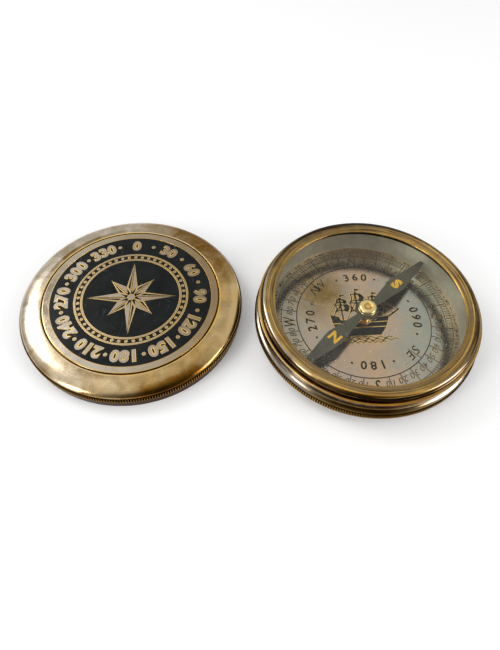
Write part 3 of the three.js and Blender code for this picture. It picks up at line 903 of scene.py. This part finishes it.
def case_ring():
    under = arc(UNDER_STEPS, lambda t: (FOOT_R + UNDER_WIDTH * sin(t), UNDER_TOP * (1 - cos(t)), -0.45))
    flare = []
    first = radians(FLARE_FROM)
    for i in range(FLARE_STEPS + 1):
        t = radians(FLARE_FROM + (90 - FLARE_FROM) * i / FLARE_STEPS)
        inward = (sin(t) - sin(first)) / (1 - sin(first))
        upward = 1 - cos(t) / cos(first)
        flare.append((BODY_R - (BODY_R - BARREL_R) * inward, CASE_KNURL_TOP + FLARE_HEIGHT * upward, -0.3))
    # The face under the ledge is painted dark, a painted shade
    rim = section([
        (BARREL_R, COVE_TOP, -0.12), (BARREL_R, COVE_TOP + BAND_HEIGHT, -0.12),
        (BARREL_R, LEDGE_BOTTOM, -0.6, 0.2), (LEDGE_R, LEDGE_BOTTOM + LEDGE_R - BARREL_R, -0.3, 0.06),
        (LEDGE_R, LEDGE_Z, -0.1, 0.12, 0.95), (COLLAR_R + 0.3, LEDGE_Z, -0.5), (COLLAR_R, LEDGE_Z, -0.9),
    ])[1:]
    collar = threaded(COLLAR_R, LEDGE_Z, THREAD_TOP, -0.75)
    slope = (CROWN_Z - COLLAR_TOP) / (COLLAR_R - BORE_R)
    top = section([
        (COLLAR_R, THREAD_TOP, -0.3), (COLLAR_R - 0.03, COLLAR_TOP - 0.2, -0.1),
        (COLLAR_R - 0.1, COLLAR_TOP - 0.08, 0.1), (COLLAR_R - 0.24, COLLAR_TOP + 0.03, 0.4),
        *((r, COLLAR_TOP + (COLLAR_R - r) * slope, tone) for r, tone in CROWN_TONES),
        (BORE_R, CROWN_Z, -0.6, 0.12, 0.4), (BORE_R, FLOOR_TOP, -0.5),
    ])
    body = lathe("case_body", [
        (SHANK_HOLE, PLATE_TOP, -0.3), (PLATE_SEAT_R, PLATE_TOP, -0.6), (PLATE_SEAT_R, FOOT_BREAK, -0.3),
        (PLATE_SEAT_R + FOOT_BREAK, 0.0, 0.5), (FOOT_R - 0.15, 0.0, 0.3), *under[1:],
        (KNURL_SEAT, UNDER_TOP, -0.9), (KNURL_SEAT, CASE_KNURL_TOP, -0.9),
        *flare, *rim, *collar, *top, (SHANK_HOLE, FLOOR_TOP, -0.5),
    ], extra=case_wear)
    # plate_and_painted_light: the plate colour's share, carrying painted highlights, reflections and shade
    # by side
    plate_and_painted_light, plain, warm = [], [], []
    for v in body.data.vertices:
        x, y, z = v.co / MM
        r = hypot(x, y)
        angle = atan2(y, x)
        on_cove = r > BARREL_R - 0.05 and CASE_KNURL_TOP < z < COVE_TOP
        on_barrel = r > BARREL_R - 0.05 and COVE_TOP <= z < LEDGE_BOTTOM + 0.2
        on_crown = r > CROWN_EDGE_R and z > THREAD_TOP + 0.01
        share = 1 - near_angle(angle, *FRONT_PAINTED_SHADE)
        if z > COVE_FOOT:
            share *= 1 - near_angle(angle, *BACK_PAINTED_SHADE)
        if on_crown:
            share = max(near_angle(angle, *CROWN_PLATE_AND_HIGHLIGHT), 0.8 * near_angle(angle, *CROWN_PATCH_HIGHLIGHT))
        if on_barrel:
            share = max(share, 0.6 * near_angle(angle, *BARREL_PLATE_AND_REFLECTION))
        plate_and_painted_light.append(share if on_cove or on_barrel or on_crown else 0.0)
        plain.append(1.0 if on_cove or on_barrel else 0.0)
        golden = on_crown or on_cove and z < CASE_KNURL_TOP + 0.8 or LEDGE_EDGE < z < LEDGE_Z + 0.02
        warm.append(near_angle(angle, *FRONT_GOLD) if golden else 0.0)
    paint(body.data, "plate", plate_and_painted_light)
    paint(body.data, "plain", plain)
    paint(body.data, "warm", warm)
    return body


def wall_wear(r, z, angle):
    """A painted highlight high on the wall, and painted shade beside it."""
    return 0.0, worn(angle, WALL_PAINTED_LIGHT) if r == SLEEVE_R and WALL_MIDDLE - 1 < z < WALL_DARK else 0.0


def bezel_wear(r, z, angle):
    """Painted highlights and shade: the bezel's outer edge is bright at the sides only, and its lip at the
    far side.
    """
    if r > BEZEL_EDGE_R:
        return 0.0, worn(angle, BEZEL_EDGE_PAINTED_SHADE)
    return 0.0, worn(angle, BEZEL_PAINTED_LIGHT + BEZEL_LIP_PAINTED_LIGHT if r < WINDOW_R + 0.35 else BEZEL_PAINTED_LIGHT)


def turned(name, segments, corners, extra=None):
    return lathe(name, section(corners), segments, extra)


dress(case_ring(), "case", case_brass, "antique_brass", "case_ring")
case_knurl = knurl("case_knurl", UNDER_TOP, CASE_KNURL_TOP, CASE_KNURL_SHINE, CASE_KNURL_PAINTED_LIGHT)
dress(case_knurl, "case", knurl_brass, "antique_brass")

dress(turned("base_disc", PLAIN_ROUND, [
    (0, 0.0, 0.1), (PLATE_R, 0.0, -0.2, 0.12, 0.6), (PLATE_R, PLATE_TOP, -0.2, 0.1), (0, PLATE_TOP, -0.2),
]), "case", case_brass, "antique_brass", "base_plate")

dress(turned("dial_face", PLAIN_ROUND, [
    (SHANK_HOLE, FLOOR_TOP), (INSERT_R, FLOOR_TOP, 0, 0.05),
    (INSERT_R, DIAL_TOP, 0, 0.08), (SHANK_HOLE, DIAL_TOP, 0, 0.05),
]), "case", dial_silver, "silvered_dial", "dial_plate")

dress(turned("inner_sleeve", ROUND, [
    (SLEEVE_R, DIAL_TOP, 0, 0.12, 1.0), (INSERT_R, DIAL_TOP), (INSERT_R, GLASS_BOTTOM),
    (SLEEVE_R, GLASS_BOTTOM, -1.2, 0.12, -1.2), (SLEEVE_R, WALL_DARK, -1.2), (SLEEVE_R, WALL_DARK - 0.15),
    (SLEEVE_R, WALL_MIDDLE),
], wall_wear), "case", wall_metal, "inner_wall", "spacer_sleeve")

dress(turned("window", PLAIN_ROUND, [
    (0, GLASS_BOTTOM), (INSERT_R, GLASS_BOTTOM, 0, 0.15), (INSERT_R, GLASS_TOP, 0, 0.15), (0, GLASS_TOP),
]), "case", clear_glass, "window_glass", "glass")

dress(turned("gasket", PLAIN_ROUND, [
    (GASKET_R, GLASS_TOP, 0, 0.08), (INSERT_R, GLASS_TOP, 0, 0.05),
    (INSERT_R, BEZEL_BOTTOM, 0, 0.05), (GASKET_R, BEZEL_BOTTOM, 0, 0.08),
]), "case", rubber, "gasket_rubber", "glass_gasket")

dress(turned("bezel", ROUND, [
    (WINDOW_R, BEZEL_BOTTOM, -0.4, 0.1, 0.3), (INSERT_R, BEZEL_BOTTOM, -0.5, 0.05),
    (INSERT_R, CROWN_Z, 0.3, 0.14, 0.9), *BEZEL_CONE, (WINDOW_R, WINDOW_TOP, 0.2, 0.16, 0.2),
], bezel_wear), "case", case_brass, "antique_brass", "bezel_ring")

dress(turned("pivot_stand", SMALL_ROUND, [
    (0, PLATE_TOP), (BOSS_SHANK_R, PLATE_TOP, 0, 0.1), (BOSS_SHANK_R, DIAL_TOP),
    (BOSS_FOOT_R, DIAL_TOP, 0, 0.05), (BOSS_FOOT_R, BOSS_FOOT_TOP, 0, 0.12, 0.6),
    (BOSS_R, BOSS_FOOT_TOP, 0, 0.1), (BOSS_R, BOSS_TOP, 0, 0.2, 0.6), (PIN_R, BOSS_TOP, 0, 0.05),
    (PIN_R, PIN_BOTTOM), (0, PIN_BOTTOM),
]), "case", hub_brass, "polished_brass", "pivot_boss")

# Dial markings

# Each quarter: its letter, the letters half way to the next, and its bearing
QUARTERS = (("N", "NE", "360"), ("E", "SE", "090"), ("S", "SW", "180"), ("W", "NW", "270"))


def dial_marks():
    ink = Solids(DIAL_TOP, INK_TOP)
    for radius, half in ((CIRCLE_R, CIRCLE_HALF), (LINE_END_R, LINE_END_HALF), (LADDER_R, LADDER_HALF)):
        ink.ring(radius - half, radius + half)
    for bearing in range(0, 360, 10):
        if bearing % 90:
            ink.bar(bearing, CIRCLE_R + CIRCLE_HALF, LINE_END_R - LINE_END_HALF, SPOKE_WIDTH)
    for bearing in range(0, 360, 2):
        width = TICK_WIDTH if bearing % 10 else TENTH_WIDTH
        ink.bar(bearing, LINE_END_R + LINE_END_HALF, LADDER_R - LADDER_HALF, width)
    for bearing in range(45, 360, 90):
        ink.bar(bearing, CROSS_LINE_R, CIRCLE_R - CIRCLE_HALF, CROSS_WIDTH)
    for bearing in range(0, 360, 3):
        if bearing % 9:
            ink.disc(*at(DOT_RING_R, bearing), DOT_R, 10)
    return ink.build("dial_lines")


def dial_figures(bold, top, name):
    ink = Solids(DIAL_TOP, top)
    for bearing in range(0, 360, 10):
        if bearing % 90:
            value = min(bearing % 180, -bearing % 180)
            for digit, shift in zip(str(value), (-1.0, 1.0)):
                ink.text(digit, FIGURE_HEIGHT, FIGURE_R, bearing, shift, bold * 0.5, SLANT)
        ink.text(str(bearing), RIM_FIGURE_HEIGHT, DOT_RING_R, bearing, bold=bold * 0.5)
    for step, (letter, pair, number) in enumerate(QUARTERS):
        bearing = step * 90
        ink.text(letter, QUARTER_HEIGHT, QUARTER_R, bearing, bold=bold + 0.02, slant=SLANT, narrow=0.68)
        for half, shift in zip(pair, (-1.5, 1.5)):
            ink.text(half, PAIR_HEIGHT, PAIR_R, bearing + 45, shift, bold + 0.01, SLANT)
        for digit, turn in zip(number, (-10.0, 0.0, 10.0)):
            ink.text(digit, RING_HEIGHT, NUMBER_RING_R, bearing + turn, bold=bold + 0.03)
        for turn in (-22, 22):
            ink.disc(*at(NUMBER_RING_R, bearing + turn), 0.42 + bold * 2)
    return ink.build(name)


# The hull's planks: corners with the way each moves when the outline grows
HULL = (
    ((-9.2, 1.9, -1, 1), (-6.6, 1.2, 1, 1), (-6.2, 0.0, 1, 1), (4.6, -0.3, -1, 1),
     (5.4, 0.7, -1, 1), (9.0, 1.2, 1, 1), (8.3, -0.6, 1, -1), (-8.8, -1.0, -1, -1)),
    ((-8.7, -1.3, -1, 1), (8.1, -0.9, 1, 1), (7.5, -2.3, 1, -1), (-8.2, -2.6, -1, -1)),
    ((-8.1, -2.9, -1, 1), (7.3, -2.6, 1, 1), (5.3, -5.2, 1, -1), (-6.4, -5.4, -1, -1)),
)
BOWSPRIT = ((8.9, 0.9), (12.6, 3.4))
# Each mast: place, peak, and sails as (foot, head, half width)
MASTS = ((-5.4, 8.0, ((3.0, 5.3, 1.9), (5.8, 7.2, 1.4))),
         (-0.2, 10.0, ((2.9, 5.9, 2.4), (6.4, 9.0, 1.8))),
         (5.0, 8.6, ((2.6, 5.2, 2.1), (5.7, 7.9, 1.6))))
STAYS = (((5.3, 8.4), (12.3, 3.2)), ((5.3, 5.6), (10.6, 2.0)), ((-5.7, 7.8), (-9.2, 2.0)),
         ((0.0, 9.8), (4.7, 5.6)), ((-5.2, 7.7), (-0.6, 2.2)), ((-5.7, 5.0), (-8.0, 1.6)),
         ((0.2, 6.0), (4.2, 0.6)), ((-0.6, 6.0), (-3.9, 0.6)), ((5.4, 5.4), (7.8, 1.2)))
WAVES = ((-6.0, -9.6, 8.4), (-6.7, -7.6, 10.2), (-7.4, -5.4, 6.2))
WAVE_STEPS = 36
MAST_WIDTH = 0.5
SAIL_LINE = 0.36
SAIL_BELLY = 0.55
ROPE_WIDTH = 0.2
WAVE_LINE = 0.24
SHIP_SCALE = (1.12, 1.22)
SHIP_AT = (-1.0, -0.3)


def sail(left, right, foot, head):
    """A square sail's outline, its sides and foot bowed by the wind."""
    bow = [(t, sin(t * pi)) for t in (0.25, 0.5, 0.75, 1.0)]
    points = [(left + 0.35, head), (right - 0.2, head)]
    points += [(right + SAIL_BELLY * out, head + (foot - head) * t) for t, out in bow]
    points += [(right + (left - right) * t, foot + 0.4 * out) for t, out in bow]
    points += [(left + SAIL_BELLY * out, foot + (head - foot) * t) for t, out in bow[:-1]]
    return points


def dial_ship(grow, top, name):
    """A plain three-masted ship under sail, heading east."""
    ink = Solids(DIAL_TOP, top)
    wide = 2 * grow
    for plank in HULL:
        ink.plate([(x + grow * right, y + grow * up) for x, y, right, up in plank])
    ink.stroke(BOWSPRIT, MAST_WIDTH + wide)
    for x, peak, sails in MASTS:
        ink.stroke([(x, 0.2), (x, peak)], MAST_WIDTH + wide)
        hoist = x - grow
        ink.plate([(hoist, peak + 0.1 - grow), (x + 1.9 + wide, peak + 0.6), (hoist, peak + 1.1 + grow)])
        for foot, head, half in sails:
            ink.stroke(sail(x - half, x + half, foot, head), SAIL_LINE + wide, True)
            lee = x + half * 0.3 - grow
            edge = x + half + grow
            middle = (foot + head) / 2
            ink.plate([
                (lee, foot + 0.3 - grow), (edge, foot - grow), (edge + SAIL_BELLY, middle),
                (edge - 0.2, head + grow), (lee + 0.2, head + grow), (lee + 0.5, middle),
            ])
            ink.stroke([(x - half * 0.4, foot + 0.6), (x - half * 0.2 + 0.3, head - 0.3)], ROPE_WIDTH + wide)
    for stay in STAYS:
        ink.stroke(stay, ROPE_WIDTH + wide)
    for low, left, right in WAVES:
        step = (right - left) / WAVE_STEPS
        wave = [(left + step * i, low + 0.28 * sin(i * 1.15)) for i in range(WAVE_STEPS + 1)]
        ink.stroke(wave, WAVE_LINE + wide)
    (across, tall), (east, north) = SHIP_SCALE, SHIP_AT
    ink.verts = [(east + x * across, north + y * tall, z) for x, y, z in ink.verts]
    return ink.build(name)


dress(dial_marks(), "case", etched, "silvered_dial")
for marks, grow, name in ((dial_figures, 0.012, "dial_figures"), (dial_ship, 0.13, "dial_ship")):
    dress(marks(0.0, INK_TOP, name), "case", etched, "silvered_dial")
    dress(marks(grow, EDGE_TOP, name + "_edge"), "case", edge_gold, "polished_brass")

# Needle

BOW_STEPS = 24
HOLE_SIDES = 32


def blade_outline(inset):
    """Corners of the bow tie, drawn in by inset."""
    tip = NEEDLE_REACH - inset
    tip_y = NEEDLE_TIP / 2 - inset * 0.8
    side_y = SHOULDER_WIDTH / 2 - inset
    boss_r = BLADE_BOSS_R - inset
    start = asin(WAIST_WIDTH / 2 / BLADE_BOSS_R) - inset * 0.3
    turns = [start + (pi - 2 * start) * i / BOW_STEPS for i in range(BOW_STEPS + 1)]
    bow = [(boss_r * cos(a), boss_r * sin(a)) for a in turns]
    upper = [(tip, tip_y), (SHOULDER_AT, side_y), *bow, (-SHOULDER_AT, side_y), (-tip, tip_y)]
    return upper + [(-x, -y) for x, y in upper]


def needle_blade():
    """The bow tie with bevelled edges and a hole for the hub."""
    sides = ((BLADE_BOTTOM, BLADE_BEVEL), (BLADE_BOTTOM + BLADE_BEVEL, 0.0),
             (BLADE_TOP - BLADE_BEVEL, 0.0), (BLADE_TOP, BLADE_BEVEL))
    outside = [(z, blade_outline(inset)) for z, inset in sides]
    inside = [(z, circle(BLADE_HOLE_R, HOLE_SIDES)) for z in (BLADE_BOTTOM, BLADE_TOP)]
    work = bmesh.new()
    walls = []
    for levels in (outside, inside):
        wall = [[work.verts.new((x * MM, y * MM, z * MM)) for x, y in line] for z, line in levels]
        walls.append(wall)
        for low, high in zip(wall, wall[1:]):
            for i in range(len(low)):
                work.faces.new([low[i - 1], low[i], high[i], high[i - 1]])
    for end in (0, -1):
        edges = []
        for wall in walls:
            loop = wall[end]
            edges += [work.edges.get((loop[i - 1], loop[i])) for i in range(len(loop))]
        bmesh.ops.triangle_fill(work, use_beauty=True, use_dissolve=False, edges=edges)
    bmesh.ops.recalc_face_normals(work, faces=work.faces)
    mesh = bpy.data.meshes.new("needle_arms")
    work.to_mesh(mesh)
    work.free()
    return placed("needle_arms", mesh)


dress(needle_blade(), "needle", needle_paint, "needle_steel", "needle_blade")

needle_letters = Solids(BLADE_TOP, BLADE_TOP + 0.04)
needle_letters.text("N", LETTER_HEIGHT, LETTER_AT, 90, bold=0.04)
needle_letters.text("S", LETTER_HEIGHT * 1.15, LETTER_AT, 270, bold=0.06)
dress(needle_letters.build("needle_letters"), "needle", letter_gold, "polished_brass")

dress(turned("needle_cap", SMALL_ROUND, [
    (0, CUP_TOP), (CUP_R, CUP_TOP), (CUP_R, CLAMP_BOTTOM), (HUB_SHANK_R, CLAMP_BOTTOM),
    (HUB_SHANK_R, BLADE_TOP), (HUB_R, BLADE_TOP, 0, 0.1), (HUB_R, GROOVE_BOTTOM, 0.2, 0.22, 0.9),
    (GROOVE_R, GROOVE_BOTTOM, -1.4, 0.08, -1.4), (GROOVE_R, GROOVE_TOP, -0.8, 0.08, -1.4),
    (HUB_R - 0.1, GROOVE_TOP, 0.3, 0.12), (HUB_R, 9.35, 0.5, 0.15),
    (2.85, 9.85, 0.5, 0.25, 0.9), (2.2, HUB_TOP, 0.1, 0.25, 0.5), (1.75, HUB_TOP, 0.3, 0.2, 0.5),
    (1.35, HUB_TOP - 0.2, 0.2), (1.25, HUB_TOP - 0.25, -0.5), (1.0, HUB_TOP - 0.38, -0.4, 0.1),
    (0.5, HUB_TOP - 0.39, -0.2), (0, HUB_TOP - 0.4, 0.8),
]), "needle", hub_brass, "polished_brass", "needle_hub")

dress(turned("needle_clamp", SMALL_ROUND, [
    (BLADE_HOLE_R, CLAMP_BOTTOM, 0, 0.1), (CLAMP_R, CLAMP_BOTTOM, 0, 0.15, 0.4),
    (CLAMP_R, BLADE_BOTTOM, 0, 0.1), (BLADE_HOLE_R, BLADE_BOTTOM),
]), "needle", hub_brass, "polished_brass", "needle_collar")

# Lid

DOME_STEPS = 22
# The gold line round the lid's mouth: out from the seat, down from the top, tone
MOUTH = ((0.4, 0.004, 0.05), (0.32, 0.005, 0.9), (0.14, 0.01, 1.0), (0.03, 0.05, 1.0), (0.0, 0.16, 0.6))


def dome_point(t):
    rise = sin(t)
    height = LID_KNURL_TOP + (LID_TOP - LID_KNURL_TOP) * rise
    # The tone climbs from dark at the foot to lighter at the top: painted shade towards the foot
    return (BODY_R - LID_DOME_WIDTH * (1 - cos(t)), height, -0.35 + 0.4 * rise)


def lid_wear(r, z, angle):
    """Thread inside the skirt; the dome's tone changed in bands from place to place: painted highlights and
    shade, and a darker band near the mouth at the upper left.
    """
    if r == LID_INSIDE_R and 0.25 < z < LID_CEILING:
        rise = ridge(z, angle, THREAD_MARGIN)
        return -THREAD_DEPTH * rise, 0.8 * rise ** 3
    if z < LID_KNURL_TOP or r <= LID_SEAT_R:
        return 0.0, 0.0
    share = (r - LID_SEAT_R) / LID_DOME_WIDTH
    lift = worn(angle, DOME_PAINTED_SHADE)
    lift += ease(share, 0.45, 0.8) * worn(angle, DOME_OUTER_PAINTED_LIGHT)
    lift += (1 - ease(share, 0.1, 0.45)) * worn(angle, DOME_INNER_PAINTED_SHADE)
    if 0.05 < share < 0.25:
        lift += worn(angle, DOME_BAND_DARKER)
    return 0.0, lift


def lid_ring():
    # The skirt's outside is painted dark, a painted shade for the shadowed floor it mirrors
    skirt = section([
        (LID_INSIDE_R, 1.0, -0.6), (LID_INSIDE_R, 0.0, 0.0, 0.15, 0.4), (BODY_R, 0.0, -1.5, 0.1, -0.5),
        (BODY_R, SKIRT_TOP, -1.5),
    ])[1:]
    return lathe("lid_body", [
        (0, LID_CEILING, -0.1), (LID_INSIDE_R, LID_CEILING, -0.7),
        *threaded(LID_INSIDE_R, LID_CEILING, 0.3, -0.6), *skirt,
        (KNURL_SEAT, SKIRT_TOP, -0.9), (KNURL_SEAT, LID_KNURL_TOP, -0.9), (BODY_R, LID_KNURL_TOP, -0.3),
        *arc(DOME_STEPS, dome_point)[1:-1],
        *((LID_SEAT_R + out, LID_TOP - down, tone) for out, down, tone in MOUTH),
        (LID_SEAT_R, MEDALLION_SEAT, -0.9), (0, MEDALLION_SEAT, -0.5),
    ], extra=lid_wear)


def border_wear(r, z, angle):
    """The border is painted a little darker at the far left, a painted shade."""
    return 0.0, worn(angle, BORDER_PAINTED_SHADE) if r >= BORDER_R else 0.0


dress(lid_ring(), "lid", dome_brass, "antique_brass", "lid_ring")
lid_knurl = knurl("lid_knurl", SKIRT_TOP, LID_KNURL_TOP, LID_KNURL_SHINE, LID_KNURL_PAINTED_LIGHT)
dress(lid_knurl, "lid", knurl_brass, "antique_brass")

dress(turned("medallion", ROUND, [
    (0, MEDALLION_SEAT), (MEDALLION_R, MEDALLION_SEAT, -1.0, 0.1), (MEDALLION_R, RELIEF_TOP, 0.8, 0.12, 0.9),
    (MEDALLION_R - 0.32, RELIEF_TOP, 0.8), (MEDALLION_R - 0.42, RELIEF_TOP), (BORDER_R + 0.34, RELIEF_TOP),
    (BORDER_R + 0.24, RELIEF_TOP, 0.8), (BORDER_R, RELIEF_TOP, -0.5, 0.1, 0.9),
    (BORDER_R, MEDALLION_TOP, -0.3), (0, MEDALLION_TOP),
], border_wear), "lid", plated, "plated_brass", "medallion_plate")

dress(turned("enamel_field", PLAIN_ROUND, [
    (0, MEDALLION_TOP), (ENAMEL_R, MEDALLION_TOP), (ENAMEL_R, ENAMEL_TOP, 0, 0.08), (0, ENAMEL_TOP),
]), "lid", enamel, "black_enamel", "medallion_enamel")


def lid_numbers(bold, top, name):
    """Bearing numbers with a dot between each and the next."""
    relief = Solids(RELIEF_BOTTOM, top)
    for bearing in range(0, 360, 30):
        word = str(bearing)
        for place, digit in enumerate(word):
            turn = (place - (len(word) - 1) / 2) * NUMBER_PITCH
            relief.text(digit, NUMBER_HEIGHT, NUMBER_R, bearing + turn, bold=bold + 0.03)
        relief.disc(*at(NUMBER_R, bearing + 15), 0.55 + bold * 3, 18)
    return relief.build(name)


def lid_rose(grow, top, name):
    """A compass rose of eight points, each split along its ridge, in a ring of beads."""
    relief = Solids(RELIEF_BOTTOM, top)
    for point in range(8):
        bearing = point * 45
        gap = ROSE_GAP - grow
        tip = Vector(at((ROSE_SHORT if point % 2 else ROSE_LONG) + grow, bearing))
        along = Vector(at(1.0, bearing))
        side = Vector((along.y, -along.x))
        right = Vector(at(ROSE_WAIST, bearing + 22.5))
        left = Vector(at(ROSE_WAIST, bearing - 22.5))
        across = (right - left).normalized()
        heart = along * ROSE_HEART
        filled = (heart + side * gap, right + across * (grow - 0.12), tip + side * max(0.02, gap * 0.3))
        relief.plate([tuple(p) for p in filled])
        outlined = (heart - side * 0.45, left - across * (grow - 0.3), tip - side * 0.22)
        relief.stroke(outlined, ROSE_LINE + 2 * grow, True)
    relief.disc(0.0, 0.0, ROSE_DISC_R + grow, 28)
    for inner, outer in ROSE_RINGS:
        relief.ring(inner - grow, outer + grow, 128)
    for bead in range(BEADS):
        relief.disc(*at(BEAD_RING_R, bead * 360 / BEADS), BEAD_R + grow, 12)
    return relief.build(name)


for relief, grow, name in ((lid_numbers, 0.035, "lid_numbers"), (lid_rose, 0.14, "lid_rose")):
    dress(relief(0.0, RELIEF_TOP, name), "lid", plated, "plated_brass")
    dress(relief(grow, GOLD_TOP, name + "_edge"), "lid", edge_gold, "polished_brass")

# Small pieces that stay as they are
for node, material in (("pivot_pin", steel.material), ("needle_jewel", jewel)):
    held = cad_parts[node]
    held.data.materials.clear()
    held.data.materials.append(material)

# Ground and light

FLOOR_HALF = 3.0
FLOOR_DROP = 0.00002
FLOOR_GREY = (0.94, 0.94, 0.94)
FLOOR_GLOW = 0.145
WORLD_STRENGTH = 0.63

floor_mesh = bpy.data.meshes.new("ground")
floor_corners = [(x * FLOOR_HALF, y * FLOOR_HALF, 0.0) for x, y in ((-1, -1), (1, -1), (1, 1), (-1, 1))]
floor_mesh.from_pydata(floor_corners, [], [[0, 1, 2, 3]])
ground = placed("ground", floor_mesh)
ground.location.z = -FLOOR_DROP
paper = Finish("ground_paper", 0.9)
paper.set("Base Color", FLOOR_GREY)
paper.set("Specular IOR Level", 0.0)
path = paper.add("ShaderNodeLightPath").outputs
seen = paper.math("MAXIMUM", path["Is Camera Ray"], path["Is Glossy Ray"])
seen = paper.math("MAXIMUM", seen, path["Is Transmission Ray"])
paper.set("Emission Color", WHITE)
paper.set("Emission Strength", paper.times(seen, FLOOR_GLOW))
floor_mesh.materials.append(paper.material)


def lamp(name, place, aim, width, height, radiance):
    """A flat soft light whose face has a given brightness."""
    data = bpy.data.lights.new(name, "AREA")
    data.shape = "RECTANGLE"
    data.size = width
    data.size_y = height
    data.energy = radiance * pi * width * height
    obj = placed(name, data)
    obj.location = place
    obj.rotation_mode = "QUATERNION"
    obj.rotation_quaternion = (Vector(aim) - Vector(place)).to_track_quat("-Z", "Y")


lamp("left_box", (-0.515, 0.292, 0.468), (-0.079, 0.009, 0.0), 0.30, 0.30, 4.2)
lamp("left_strip", (-0.541, -0.326, 0.24), (-0.079, 0.009, 0.0), 0.16, 0.46, 6.5)
lamp("right_strip", (0.521, -0.243, 0.205), (0.0, 0.0, 0.0), 0.36, 0.40, 4.5)

world = bpy.data.worlds.new("studio")
scene.world = world
sky = Nodes(world)
way = sky.add("ShaderNodeTexCoord").outputs["Generated"]


def sky_patch(towards, edge, core, outside, inside):
    """A level that runs from outside to inside a patch of sky; edge and core are cosines."""
    facing = sky.add("ShaderNodeVectorMath", operation="DOT_PRODUCT")
    sky.fill(facing, way, tuple(Vector(towards).normalized()))
    band = sky.add("ShaderNodeMapRange", interpolation_type="SMOOTHSTEP")
    return sky.fill(band, facing.outputs["Value"], edge, core, outside, inside)


level = sky.plus(sky_patch((0.195, -0.844, 0.50), 0.58, 0.927, 1.0, 0.18),
                 sky_patch((-0.416, 0.073, 0.906), 0.74, 0.95, 0.0, 0.42))
sky.fill(sky.tree.nodes["Background"], sky.join(level, level, level), WORLD_STRENGTH)

# Camera

LENS = 28.196
SENSOR = 36.0
CLIP = (0.01, 20.0)
CAMERA = (-0.04716, -0.09717, 0.14565)
AZIMUTH = -4.75
ELEVATION = 56.009
ROLL = 2.039

camera_data = bpy.data.cameras.new("camera")
camera_data.lens = LENS
camera_data.sensor_width = SENSOR
camera_data.clip_start, camera_data.clip_end = CLIP
camera = placed("camera", camera_data)
aim = Matrix.Translation(CAMERA)
for angle, axis in ((AZIMUTH, "Z"), (90 - ELEVATION, "X"), (ROLL, "Z")):
    aim = aim @ Matrix.Rotation(radians(angle), 4, axis)
camera.matrix_world = aim
scene.camera = camera
scene.view_settings.view_transform = "Standard"
